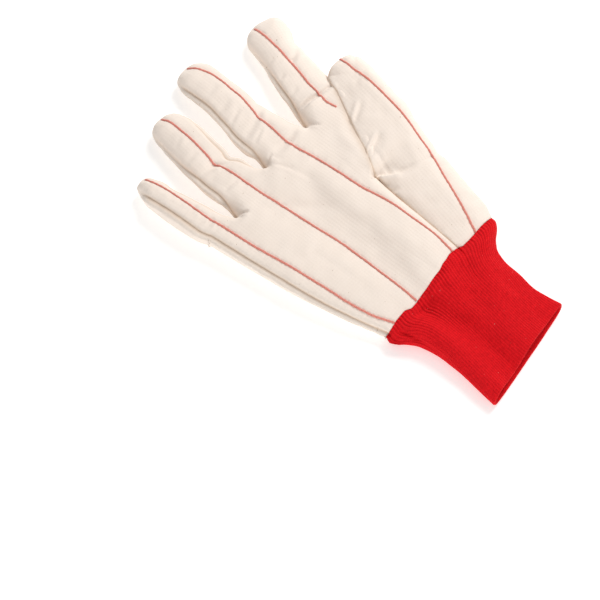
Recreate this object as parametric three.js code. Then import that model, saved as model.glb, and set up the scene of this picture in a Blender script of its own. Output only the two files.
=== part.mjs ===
// A right-hand double palm work glove with a knit wrist, lying palm up.
// Millimetres. +Y runs from the wrist band to the fingertips, +X points to the thumb side and +Z is up.
// The origin is on the surface that the glove lies on, under the middle of the hand.
import * as THREE from 'three';

const CLOTH = { palm: 2.0, back: 1.3, thumbFront: 1.9, thumbBack: 1.3, knit: 2.2 };
const SEAM_GAP = 0.56;
const ON_SEAM = 0.4;
const SEAM_SHIFT = 0.21;
const COLOUR = { canvas: 0xf1e6d6, knit: 0xd81e28 };

// Lines on the flat pattern between the wrist seam and the finger crotches, little-finger side first.
// Each runs from the wrist to a crotch, and the first follows the outer seam.
const PATTERN_LINES = {
  outer: [[-43.5, -57], [-49.5, -35], [-54.5, -10], [-58, 17], [-61, 40], [-63, 55]],
  littleRing: [[-26, -57], [-33, 0], [-39, 33], [-43.5, 53.5]],
  ringMiddle: [[1, -57], [-2.5, -28], [-5, 0], [-8, 38], [-8.8, 61.5]],
  middleIndex: [[9.5, -57], [15.5, 0], [22, 40], [26.3, 60.5]],
  thumbSeam: [[20.5, -57], [21.5, -38], [22.6, -12], [24.5, 8]],
  thumbWeb: [[24.5, 8], [30.8, 19], [39.8, 35], [48.8, 52], [55.8, 66]],
};

// Each finger's sections from its crotches to the start of its rounded tip.
// half is half the full width. outerSeam and innerSeam are the angles above the side at which the seams
// toward the little finger and toward the thumb sit.
const FINGERS = [
  {
    name: 'little',
    tip: { length: 11, seamAngle: 12 },
    sections: [
      { x: -57.6, y: 63, half: 10.8, height: 15.5, outerSeam: 48, innerSeam: 24 },
      { x: -59.0, y: 74, half: 10.8, height: 16, outerSeam: 54, innerSeam: 26 },
      { x: -60.4, y: 86, half: 10.0, height: 15.5, outerSeam: 56, innerSeam: 26 },
      { x: -61.4, y: 98, half: 8.8, height: 14.5, outerSeam: 50, innerSeam: 22 },
    ],
  },
  {
    name: 'ring',
    tip: { length: 12.5, seamAngle: 8 },
    sections: [
      { x: -27.0, y: 68, half: 15.0, height: 15, outerSeam: 30, innerSeam: 22 },
      { x: -27.4, y: 80, half: 14.0, height: 14, outerSeam: 32, innerSeam: 24 },
      { x: -26.9, y: 93, half: 13.7, height: 15.5, outerSeam: 32, innerSeam: 24 },
      { x: -25.2, y: 106, half: 12.9, height: 15.5, outerSeam: 30, innerSeam: 20 },
      { x: -24.0, y: 116, half: 11.8, height: 14.5, outerSeam: 26, innerSeam: 16 },
    ],
  },
  {
    name: 'middle',
    tip: { length: 12.5, seamAngle: 8 },
    sections: [
      { x: 7.6, y: 73, half: 15.0, height: 16, outerSeam: 30, innerSeam: 14 },
      { x: 7.8, y: 85, half: 14.2, height: 15, outerSeam: 32, innerSeam: 10 },
      { x: 8.8, y: 98, half: 13.0, height: 15.5, outerSeam: 32, innerSeam: 8 },
      { x: 10.6, y: 112, half: 12.6, height: 15.5, outerSeam: 32, innerSeam: 6 },
      { x: 11.6, y: 128, half: 11.8, height: 14.5, outerSeam: 24, innerSeam: 6 },
    ],
  },
  {
    name: 'index',
    tip: { length: 13, seamAngle: 8 },
    sections: [
      { x: 45.6, y: 74, half: 14.6, height: 15, outerSeam: 26, innerSeam: 18 },
      { x: 49.6, y: 88, half: 14.2, height: 15.5, outerSeam: 28, innerSeam: 20 },
      { x: 54.2, y: 101, half: 13.4, height: 15.5, outerSeam: 28, innerSeam: 18 },
      { x: 58.8, y: 115, half: 13.2, height: 14.5, outerSeam: 20, innerSeam: 14 },
    ],
  },
];

// Height of the palm's surface over each finger's line, from the wrist to the crotches.
const PALM_CROWNS = [
  { y: -57, little: 12, ring: 12.5, middle: 14, index: 13 },
  { y: -38, little: 14, ring: 12.5, middle: 18, index: 15 },
  { y: -10, little: 15, ring: 13, middle: 19.5, index: 16 },
  { y: 20, little: 15.5, ring: 14, middle: 18.5, index: 16.5 },
  { y: 45, little: 15.5, ring: 15.5, middle: 17, index: 17 },
  { y: 62, little: 15.5, ring: 15, middle: 16.5, index: 16 },
];

// How the outer seam and the thumb web are rounded: the seam's angle and the edge's half thickness.
const OUTER_EDGE = [
  { y: -57, angle: 12, spread: 10, halfHeight: 6 },
  { y: -30, angle: 16, spread: 12, halfHeight: 7 },
  { y: 10, angle: 34, spread: 12, halfHeight: 7.6 },
  { y: 55, angle: 46, spread: 9, halfHeight: 7.8 },
];
const WEB_EDGE = { angle: 14, spread: 10.5, halfHeight: 5.2 };
const CROTCH_EDGE = { angle: 6, spread: 7, halfHeight: 5.4 };
const CROTCH_REACH = 16;
const THUMB_GROOVE = { height: 10.2, wristHeight: 12, spread: 11 };

// Sections of the thumb, from the wrist seam to the start of its tip.
// The near seam is the one beside the palm. skew moves the crown across, from -1 at the near seam.
const THUMB_VALUES = ['nearX', 'nearY', 'nearZ', 'farX', 'farY', 'farZ', 'crown', 'skew', 'belly'];
const THUMB = named(THUMB_VALUES, [
  [20.5, -57, 12, 50.4, -57, 6, 14, 0.1, 0],
  [21.5, -38, 11, 56, -41, 6.5, 18, 0.2, 0],
  [22.6, -12, 10.2, 62, -18, 7, 20.5, 0.25, 0],
  [24.5, 8, 7, 67.2, 3, 7.5, 21.5, 0.3, 0.6],
  [32.2, 22, 15.5, 72.6, 17, 8, 22, 0.35, 1.4],
  [39.2, 36, 17.5, 76.8, 31, 8.5, 22, 0.35, 1.8],
  [46.4, 49, 17.8, 79.8, 43, 9, 22, 0.35, 2.2],
  [52.4, 60, 17.2, 81.8, 55.5, 9.5, 21.5, 0.3, 2.6],
]);
const THUMB_TIP = { length: 17.5, squareness: 2.7 };
const THUMB_CROTCH_SECTION = 3;
const THUMB_NEAR_ANGLE = 32;
const THUMB_ROUNDNESS = { tube: 2.6, closing: 2.4 };
const THUMB_OPENING = 0.09;
const THUMB_REST = { clearance: 0.9, wrap: 2.6 };

// Soft valleys pressed into the cloth: from (x, y) to (toX, toY), with the valley's depth and width.
const FINGER_FOLDS = [
  { x: -42, y: 85.5, toX: -18, toY: 77, depth: 1.5, width: 3.0 },
  { x: -5, y: 81, toX: 19, toY: 87.5, depth: 1.3, width: 3.0 },
  { x: -4, y: 104, toX: 10, toY: 104.6, depth: 0.5, width: 2.6 },
  { x: -3, y: 61, toX: 19, toY: 62, depth: 0.9, width: 3.0 },
  { x: 29, y: 72, toX: 56, toY: 64.5, depth: 1.7, width: 2.8 },
  { x: 35, y: 92.4, toX: 62, toY: 97, depth: 0.7, width: 2.8 },
];
const THUMB_FOLDS = [
  { x: 50, y: 49, toX: 58, toY: 47, depth: 1.4, width: 3.0 },
  { x: 37, y: 32, toX: 47, toY: 31, depth: 1.5, width: 3.0 },
  { x: 25, y: 9.5, toX: 41, toY: 5, depth: 1.8, width: 2.8 },
];
const SEAM_TUCK = { depth: 0.9, width: 1.4 };

// Sections of the knit wrist: where each crosses the glove's middle line, its sides and its height.
const KNIT = [
  { y: -57.4, left: -44.5, right: 50.6, height: 15.5, tilt: 0, follow: 1 },
  { y: -61.5, left: -46, right: 48.6, height: 15.5, tilt: 0, follow: 0.5 },
  { y: -67, left: -42.5, right: 41, height: 15, tilt: 0.01, follow: 0.12 },
  { y: -75, left: -36.8, right: 34.8, height: 14.5, tilt: 0.02, follow: 0 },
  { y: -88, left: -35.2, right: 32.2, height: 13.5, tilt: 0.04, follow: 0 },
  { y: -105, left: -36.2, right: 30.8, height: 12, tilt: 0.07, follow: 0 },
  { y: -122.8, left: -38, right: 33, height: 10.6, tilt: 0.1, follow: 0 },
];
const KNIT_RIBS = 78;
const KNIT_RIB_DEPTH = 0.45;
const KNIT_LINING_STEPS = 39;
const KNIT_ROUNDNESS = { top: 2.3, bottom: 3.4 };
const HEM_SETBACK = { depth: 1.8, y: -100, length: 20 };

// How many faces the panels have along and across.
const PALM_ROWS = [0, 0.12, 0.24, 0.36, 0.48, 0.58, 0.69, 0.79, 0.87, 0.94, 1];
const THUMB_CROTCH_ROW = 5;
const FINGER_STEPS = 8;
const TIP_STEPS = [0.3, 0.58, 0.82, 1];
const TIP_SQUARENESS = 2.3;
const PALM_COLUMNS = 8;
const BACK_COLUMNS = [0, 0.03, 0.095, 0.17, 0.31, 0.5, 0.69, 0.83, 0.905, 0.97, 1];
const THUMB_COLUMNS = 10;
const THUMB_STEPS = 13;
const SEAM_GROOVE = { depth: 1.1, width: 1.4 };

/** Rows of numbers as rows of named values. */
function named(names, rows) {
  return rows.map((row) => Object.fromEntries(names.map((name, index) => [name, row[index]])));
}

const radians = (degrees) => (degrees * Math.PI) / 180;
const mix = (a, b, share) => a + (b - a) * share;
const clamp01 = (value) => Math.min(1, Math.max(0, value));
const ease = (share) => clamp01(share) ** 2 * (3 - 2 * clamp01(share));
const gauss = (distance, width) => Math.exp(-((distance / width) ** 2));
const flat = (pairs) => pairs.map(([x, y]) => new THREE.Vector2(x, y));

/** Reads one column of a table whose rows are in order of another column, smoothly between rows. */
function lookUp(table, key, column, at) {
  const rising = table[table.length - 1][key] > table[0][key];
  const rows = rising ? table : [...table].reverse();
  if (at <= rows[0][key]) return rows[0][column];
  const next = rows.findIndex((row) => row[key] >= at);
  if (next < 0) return rows[rows.length - 1][column];
  const [low, high] = [rows[next - 1], rows[next]];
  return mix(low[column], high[column], ease((at - low[key]) / (high[key] - low[key])));
}

/** A smooth curve through rows of a table, as a function from 0 to 1 that gives named values. */
function through(rows, columns) {
  const last = rows.length - 1;
  return (share) => {
    const place = clamp01(share) * last;
    const index = Math.min(last - 1, Math.floor(place));
    const t = place - index;
    const four = [-1, 0, 1, 2].map((step) => rows[Math.min(last, Math.max(0, index + step))]);
    const result = {};
    for (const column of columns) {
      const [a, b, c, d] = four.map((row) => row[column]);
      const curve = (2 * a - 5 * b + 4 * c - d) * t * t + (3 * b - a - 3 * c + d) * t ** 3;
      result[column] = 0.5 * (2 * b + (c - a) * t + curve);
    }
    return result;
  };
}

/** How deep the folds press the cloth down at a place. */
function foldDepth(folds, x, y) {
  let depth = 0;
  for (const fold of folds) {
    const along = new THREE.Vector2(fold.toX - fold.x, fold.toY - fold.y);
    const length = along.length();
    along.divideScalar(length);
    const from = new THREE.Vector2(x - fold.x, y - fold.y);
    const share = from.dot(along) / length;
    const aside = from.cross(along);
    const fade = ease((share + 0.15) / 0.3) * ease((1.15 - share) / 0.3);
    depth += fold.depth * fade * gauss(aside, fold.width);
  }
  return depth;
}

/** The two edges of a finger, with how each edge is rounded, from its crotches to its tip's start. */
function fingerEdges(finger, nearCrotch, farCrotch) {
  const near = [];
  const far = [];
  finger.sections.forEach((section, index) => {
    const before = finger.sections[Math.max(0, index - 1)];
    const after = finger.sections[Math.min(finger.sections.length - 1, index + 1)];
    const along = new THREE.Vector2(after.x - before.x, after.y - before.y).normalize();
    const across = new THREE.Vector2(along.y, -along.x);
    const halfHeight = section.height / 2;
    const spread = Math.min(section.half, 11);
    for (const [side, list, angle] of [[-1, near, section.outerSeam], [1, far, section.innerSeam]]) {
      const inset = spread * (1 - Math.cos(radians(angle)));
      const reach = side * (section.half - inset);
      const spot = new THREE.Vector2(section.x, section.y).addScaledVector(across, reach);
      list.push({ x: spot.x, y: spot.y, angle, spread, halfHeight });
    }
  });
  near.unshift(nearCrotch);
  far.unshift(farCrotch);
  const columns = ['x', 'y', 'angle', 'spread', 'halfHeight'];
  return { near: through(near, columns), far: through(far, columns) };
}

const crotch = (line) => {
  const [x, y] = line[line.length - 1];
  return { x, y, ...CROTCH_EDGE };
};
const patternCurve = Object.fromEntries(
  Object.entries(PATTERN_LINES).map(([name, line]) => [name, new THREE.SplineCurve(flat(line))]),
);
const STRIP_LINES = ['outer', 'littleRing', 'ringMiddle', 'middleIndex'];

/** A point on one of the pattern lines at a share of the way from the wrist to the crotches. */
function patternPoint(strip, side, share) {
  const index = strip + side;
  if (index < STRIP_LINES.length) return patternCurve[STRIP_LINES[index]].getPoint(share);
  const thumbShare = PALM_ROWS[THUMB_CROTCH_ROW];
  if (share <= thumbShare) return patternCurve.thumbSeam.getPoint(share / thumbShare);
  return patternCurve.thumbWeb.getPoint((share - thumbShare) / (1 - thumbShare));
}

const edges = FINGERS.map((finger, strip) => {
  const [x, y] = PATTERN_LINES.outer[PATTERN_LINES.outer.length - 1];
  const { angle, spread, halfHeight } = OUTER_EDGE[OUTER_EDGE.length - 1];
  const outerStart = { x, y, angle, spread, halfHeight };
  const nearCrotch = strip ? crotch(PATTERN_LINES[STRIP_LINES[strip]]) : outerStart;
  const last = strip === FINGERS.length - 1;
  const webEnd = PATTERN_LINES.thumbWeb[PATTERN_LINES.thumbWeb.length - 1];
  const farCrotch = last
    ? { x: webEnd[0], y: webEnd[1], ...WEB_EDGE }
    : crotch(PATTERN_LINES[STRIP_LINES[strip + 1]]);
  return fingerEdges(finger, nearCrotch, farCrotch);
});

/** Rows of plan points for one finger's strip, from the wrist to the tip, at shares across it. */
function stripPlan(strip, shares) {
  const rows = [];
  for (const share of PALM_ROWS) {
    const near = patternPoint(strip, 0, share);
    const far = patternPoint(strip, 1, share);
    rows.push(shares.map((across) => near.clone().lerp(far, across)));
  }
  const { near, far } = edges[strip];
  for (let step = 1; step <= FINGER_STEPS; step += 1) {
    const a = near(step / FINGER_STEPS);
    const b = far(step / FINGER_STEPS);
    const from = new THREE.Vector2(a.x, a.y);
    rows.push(shares.map((across) => from.clone().lerp(new THREE.Vector2(b.x, b.y), across)));
  }
  const a = near(1);
  const b = far(1);
  const half = new THREE.Vector2(b.x - a.x, b.y - a.y).multiplyScalar(0.5);
  const centre = new THREE.Vector2(a.x, a.y).add(half);
  const forward = new THREE.Vector2(-half.y, half.x).normalize();
  for (const step of TIP_STEPS) {
    rows.push(shares.map((across) => {
      const u = 2 * across - 1;
      const pull = Math.max(Math.abs(u), step)
        / (Math.abs(u) ** TIP_SQUARENESS + step ** TIP_SQUARENESS) ** (1 / TIP_SQUARENESS);
      return centre.clone().addScaledVector(half, u * pull)
        .addScaledVector(forward, FINGERS[strip].tip.length * step * pull);
    }));
  }
  return rows;
}

/** Height of the seam line for an edge that is rounded as given. */
const seamHeight = (edge) => edge.halfHeight * (1 + Math.sin(radians(edge.angle)));

/** The seam round the four fingers as a line of points that carry how the edge is rounded there. */
function handOutline(withThumbSeam) {
  const points = [];
  const straight = 4;
  for (let step = 0; step < PALM_ROWS.length * straight; step += 1) {
    const spot = patternCurve.outer.getPoint(step / (PALM_ROWS.length * straight));
    points.push({
      x: spot.x,
      y: spot.y,
      angle: lookUp(OUTER_EDGE, 'y', 'angle', spot.y),
      spread: lookUp(OUTER_EDGE, 'y', 'spread', spot.y),
      halfHeight: lookUp(OUTER_EDGE, 'y', 'halfHeight', spot.y),
    });
  }
  FINGERS.forEach((finger, strip) => {
    const { near, far } = edges[strip];
    const up = FINGER_STEPS * straight;
    for (let step = 0; step <= up; step += 1) points.push(near(step / up));
    const a = near(1);
    const b = far(1);
    const half = new THREE.Vector2(b.x - a.x, b.y - a.y).multiplyScalar(0.5);
    const centre = new THREE.Vector2(a.x, a.y).add(half);
    const forward = new THREE.Vector2(-half.y, half.x).normalize();
    const bends = 48;
    for (let step = 1; step < bends; step += 1) {
      const turn = Math.PI * (1 - step / bends);
      const power = 2 / TIP_SQUARENESS;
      const side = Math.sign(Math.cos(turn)) * Math.abs(Math.cos(turn)) ** power;
      const ahead = Math.sin(turn) ** power;
      const spot = centre.clone().addScaledVector(half, side)
        .addScaledVector(forward, finger.tip.length * ahead);
      const edge = side < 0 ? a : b;
      points.push({
        x: spot.x,
        y: spot.y,
        angle: mix(edge.angle, finger.tip.seamAngle, ease(ahead * 1.3)),
        spread: edge.spread,
        halfHeight: edge.halfHeight,
      });
    }
    for (let step = up; step >= 0; step -= 1) points.push(far(step / up));
  });
  const webSteps = 20;
  for (let step = webSteps - 1; step >= 0; step -= 1) {
    const spot = patternCurve.thumbWeb.getPoint(step / webSteps);
    points.push({ x: spot.x, y: spot.y, ...WEB_EDGE });
  }
  if (withThumbSeam) {
    for (let step = webSteps - 1; step >= 0; step -= 1) {
      const spot = patternCurve.thumbSeam.getPoint(step / webSteps);
      const blend = ease((webSteps - step) / 6);
      const rest = ease(step / webSteps / 0.6);
      const groove = mix(THUMB_GROOVE.wristHeight, THUMB_GROOVE.height, rest);
      points.push({
        x: spot.x,
        y: spot.y,
        angle: 0,
        spread: mix(WEB_EDGE.spread, THUMB_GROOVE.spread, blend),
        halfHeight: mix(seamHeight(WEB_EDGE), groove, blend),
        open: blend,
      });
    }
  }
  return points;
}

/** Gives each point of a line the way out of the cloth there, which is on the line's left. */
function facingOut(points) {
  const line = points.filter((point, index) => {
    const before = points[index - 1];
    return index === 0 || Math.hypot(point.x - before.x, point.y - before.y) > 1e-4;
  });
  const sides = line.slice(1).map((point, index) => (
    new THREE.Vector2(line[index].y - point.y, point.x - line[index].x).normalize()
  ));
  return line.map((point, index) => {
    const before = sides[Math.max(0, index - 1)];
    const after = sides[Math.min(sides.length - 1, index)];
    return { ...point, side: before.clone().add(after).normalize() };
  });
}

/** The nearest place on the seam to a plan point, with the way out towards it. */
function nearestSeam(outline, spot) {
  let best = { distance: Infinity };
  for (let index = 1; index < outline.length; index += 1) {
    const from = outline[index - 1];
    const to = outline[index];
    const run = new THREE.Vector2(to.x - from.x, to.y - from.y);
    const square = run.lengthSq();
    const share = clamp01(((spot.x - from.x) * run.x + (spot.y - from.y) * run.y) / square);
    const x = mix(from.x, to.x, share);
    const y = mix(from.y, to.y, share);
    const distance = Math.hypot(spot.x - x, spot.y - y);
    if (distance < best.distance) {
      const left = from.side.clone().lerp(to.side, share).normalize();
      best = {
        distance,
        x,
        y,
        angle: mix(from.angle, to.angle, share),
        spread: mix(from.spread, to.spread, share),
        halfHeight: mix(from.halfHeight, to.halfHeight, share),
        open: from.open === undefined ? undefined : mix(from.open, to.open, share),
        left,
      };
    }
  }
  const { distance } = best;
  best.out = distance > ON_SEAM
    ? new THREE.Vector2(best.x - spot.x, best.y - spot.y).divideScalar(distance)
    : best.left;
  return best;
}

const palmOutline = facingOut(handOutline(true));
const backOutline = facingOut(handOutline(false));
const webEdge = patternCurve.thumbWeb.getPoints(24).reverse().map(({ x, y }) => ({ x, y, ...WEB_EDGE }));
const indexSide = Array.from({ length: 12 }, (_, step) => edges[3].far((12 - step) / 24));
const webOutline = facingOut([...indexSide, ...webEdge]);
const crotchSpots = ['littleRing', 'ringMiddle', 'middleIndex'].map((name) => crotch(PATTERN_LINES[name]));
crotchSpots.push({ x: PATTERN_LINES.thumbWeb[0][0], y: PATTERN_LINES.thumbWeb[0][1] });

/** Opens from 0 at a crotch to 1 where the fingers stand clear of each other. */
function clearOfCrotch(x, y) {
  const nearest = Math.min(...crotchSpots.map((spot) => Math.hypot(spot.x - x, spot.y - y)));
  return ease(nearest / CROTCH_REACH);
}

/** Height of the cloth over a finger's middle line at a plan point, read across the palm. */
function crownAt(strip, across, spot, row) {
  const last = PALM_ROWS.length - 1;
  const names = FINGERS.map((finger) => finger.name);
  if (row > last) {
    const rows = FINGERS[strip].sections;
    return lookUp(rows, 'y', 'height', spot.y);
  }
  const place = strip + across - 0.5;
  const low = Math.max(0, Math.min(3, Math.floor(place)));
  const high = Math.min(3, low + 1);
  const share = ease(clamp01(place - low));
  const a = lookUp(PALM_CROWNS, 'y', names[low], spot.y);
  const b = lookUp(PALM_CROWNS, 'y', names[high], spot.y);
  return mix(a, b, share);
}

/** A direction that points out by the cosine of an angle and up by its sine. */
const outAndUp = (out, angle) => new THREE.Vector3(
  out.x * Math.cos(angle),
  out.y * Math.cos(angle),
  Math.sin(angle),
);

/** A point on the seam itself, half a gap above or below it, with the wall's direction there. */
function seamPoint(edge, spot, angle, above) {
  const facing = outAndUp(edge.out, angle);
  const rising = outAndUp(edge.out, angle + Math.PI / 2);
  const point = new THREE.Vector3(spot.x, spot.y, seamHeight(edge));
  point.addScaledVector(rising, (above ? SEAM_GAP : -SEAM_GAP) / 2);
  point.addScaledVector(facing, -SEAM_TUCK.depth);
  return { point, facing };
}

/** The palm's outer surface at a plan point. */
function palmPoint(strip, across, spot, row) {
  const edge = nearestSeam(palmOutline, spot);
  const start = radians(edge.angle);
  const onThumb = edge.open !== undefined;
  if (edge.distance < ON_SEAM && !onThumb) return seamPoint(edge, spot, start, true);
  if (edge.distance < ON_SEAM / 4) {
    const point = new THREE.Vector3(edge.x - SEAM_SHIFT, edge.y, edge.halfHeight);
    return { point, facing: new THREE.Vector3(0, 0, 1) };
  }
  const share = clamp01(edge.distance / edge.spread / Math.cos(start));
  const turn = Math.acos(Math.cos(start) * (1 - share));
  const rise = (Math.sin(turn) - Math.sin(start)) / (1 - Math.sin(start));
  const low = seamHeight(edge);
  const crown = Math.max(low + 1, crownAt(strip, across, spot, row));
  const tuck = SEAM_TUCK.depth * gauss(edge.distance, SEAM_TUCK.width);
  const dent = foldDepth(FINGER_FOLDS, spot.x, spot.y) * rise;
  const point = new THREE.Vector3(spot.x, spot.y, mix(low, crown, rise) - dent);
  return { point: point.addScaledVector(outAndUp(edge.out, turn), onThumb ? 0 : -tuck) };
}

/** The back's outer surface at a plan point: flat where it lies, and rolled up to the seam. */
function backPoint(spot, grooveDistance) {
  const edge = nearestSeam(backOutline, spot);
  const open = clearOfCrotch(edge.x, edge.y);
  const angle = radians(edge.angle);
  if (edge.distance < ON_SEAM) return seamPoint(edge, spot, angle, false);
  const start = mix(Math.min(angle, radians(4)), angle, open);
  const reach = edge.spread * Math.cos(start);
  const groove = SEAM_GROOVE.depth * gauss(grooveDistance, SEAM_GROOVE.width);
  if (edge.distance >= reach) return { point: new THREE.Vector3(spot.x, spot.y, groove) };
  const turn = mix(start, -Math.PI / 2, edge.distance / reach);
  const out = edge.spread * (Math.cos(turn) - Math.cos(start));
  const height = (seamHeight(edge) / (1 + Math.sin(start))) * (1 + Math.sin(turn));
  const tuck = SEAM_TUCK.depth * gauss(edge.distance, SEAM_TUCK.width / 2);
  const point = new THREE.Vector3(edge.x + edge.out.x * out, edge.y + edge.out.y * out, height);
  point.addScaledVector(outAndUp(edge.out, turn), -tuck);
  return { point: point.setZ(Math.max(groove * ease(1 - height), point.z)) };
}

/** A sheet of cloth: points and four-sided faces, sharing points where strips meet. */
class Sheet {
  constructor() {
    this.points = [];
    this.facings = [];
    this.quads = [];
    this.known = new Map();
  }

  /** Adds a point once for each key. make gives the point and, on a seam, the way its wall faces. */
  add(key, make) {
    if (!this.known.has(key)) {
      this.known.set(key, this.points.length);
      const { point, facing } = make();
      this.points.push(point);
      this.facings.push(facing);
    }
    return this.known.get(key);
  }

  /** Joins a grid of point numbers into faces that look along +Z, or along -Z when facing down. */
  join(grid, facingDown) {
    for (let row = 1; row < grid.length; row += 1) {
      for (let column = 1; column < grid[row].length; column += 1) {
        const quad = [
          grid[row - 1][column - 1], grid[row - 1][column], grid[row][column], grid[row][column - 1],
        ];
        this.quads.push(facingDown ? quad.reverse() : quad);
      }
    }
  }

  normals() {
    const normals = this.points.map(() => new THREE.Vector3());
    for (const quad of this.quads) {
      const [a, b, c, d] = quad.map((index) => this.points[index]);
      const normal = c.clone().sub(a).cross(d.clone().sub(b));
      quad.forEach((index) => normals[index].add(normal));
    }
    return normals.map((normal, index) => this.facings[index] ?? normal.normalize());
  }

  /** The sheet as a closed wall, thickened towards its inside. */
  wall(thickness) {
    const normals = this.normals();
    const count = this.points.length;
    const inner = this.points.map((point, index) => (
      point.clone().addScaledVector(normals[index], -thickness)
    ));
    const faces = [];
    const rims = new Map();
    const split = (a, b, c, d) => faces.push([a, b, c], [a, c, d]);
    for (const [a, b, c, d] of this.quads) {
      split(a, b, c, d);
      split(d + count, c + count, b + count, a + count);
      for (const [from, to] of [[a, b], [b, c], [c, d], [d, a]]) {
        const back = `${to},${from}`;
        if (rims.has(back)) rims.delete(back);
        else rims.set(`${from},${to}`, [from, to]);
      }
    }
    for (const [from, to] of rims.values()) {
      const rim = [to, from, from + count, to + count];
      if (this.points[from].y < this.points[to].y) rim.push(rim.shift());
      split(...rim);
    }
    return solidGeometry([...this.points, ...inner], faces);
  }
}

/** A geometry from points and triangles. */
function solidGeometry(points, faces) {
  const geometry = new THREE.BufferGeometry();
  const places = points.flatMap((point) => point.toArray());
  geometry.setAttribute('position', new THREE.Float32BufferAttribute(places, 3));
  geometry.setIndex(faces.flat());
  geometry.computeVertexNormals();
  return geometry;
}

/** Places from -1 to 1, closer together near both ends. */
function cosineShares(count) {
  return Array.from({ length: count + 1 }, (_, index) => -Math.cos((Math.PI * index) / count));
}

/** The palm and the four finger fronts, cut from one piece of doubled cloth. */
function palmGeometry() {
  const sheet = new Sheet();
  const shares = cosineShares(PALM_COLUMNS).map((across) => (1 + across) / 2);
  FINGERS.forEach((finger, strip) => {
    const grid = stripPlan(strip, shares).map((row, rowIndex) => row.map((spot, column) => {
      const inPalm = rowIndex < PALM_ROWS.length;
      const line = strip * PALM_COLUMNS + column;
      const key = inPalm ? `palm ${rowIndex} ${line}` : `${finger.name} ${rowIndex} ${column}`;
      return sheet.add(key, () => palmPoint(strip, shares[column], spot, rowIndex));
    }));
    sheet.join(grid, false);
  });
  return sheet.wall(CLOTH.palm);
}

/** One finger's back, which runs on over the back of the hand to the wrist seam. */
function fingerBackGeometry(strip) {
  const sheet = new Sheet();
  const first = strip === 0;
  const grid = stripPlan(strip, BACK_COLUMNS).map((row, rowIndex) => {
    const width = row[0].distanceTo(row[row.length - 1]);
    const open = rowIndex >= PALM_ROWS.length;
    const freeFar = open || (strip === FINGERS.length - 1 && rowIndex > THUMB_CROTCH_ROW);
    return row.map((spot, column) => {
      const share = BACK_COLUMNS[column];
      const nearGroove = open || first ? Infinity : share * width;
      const farGroove = freeFar ? Infinity : (1 - share) * width;
      const side = Number(nearGroove < ON_SEAM) - Number(farGroove < ON_SEAM);
      return sheet.add(`${rowIndex} ${column}`, () => {
        const made = backPoint(spot, Math.min(nearGroove, farGroove));
        made.point.x += side * SEAM_SHIFT;
        return made;
      });
    });
  });
  sheet.join(grid, true);
  return sheet.wall(CLOTH.back);
}

const thumbAt = through(THUMB, THUMB_VALUES);
const THUMB_OPEN = THUMB_CROTCH_SECTION / (THUMB.length - 1);

/** How high the thumb has to lie at a plan point to clear the hand beneath it. */
function heightOfHand(spot) {
  if (spot.y < PATTERN_LINES.thumbWeb[0][1] - 2) return 0;
  const edge = nearestSeam(webOutline, spot);
  const inside = edge.out.dot(edge.left) > 0;
  const into = inside ? edge.distance : -edge.distance;
  const low = seamHeight(edge);
  const share = clamp01(into / edge.spread);
  const crown = lookUp(PALM_CROWNS, 'y', 'index', spot.y);
  const over = mix(low, crown, Math.sqrt(1 - (1 - share) ** 2)) + THUMB_REST.clearance;
  return over * ease((into + THUMB_REST.wrap) / (THUMB_REST.wrap - THUMB_REST.clearance));
}

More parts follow.
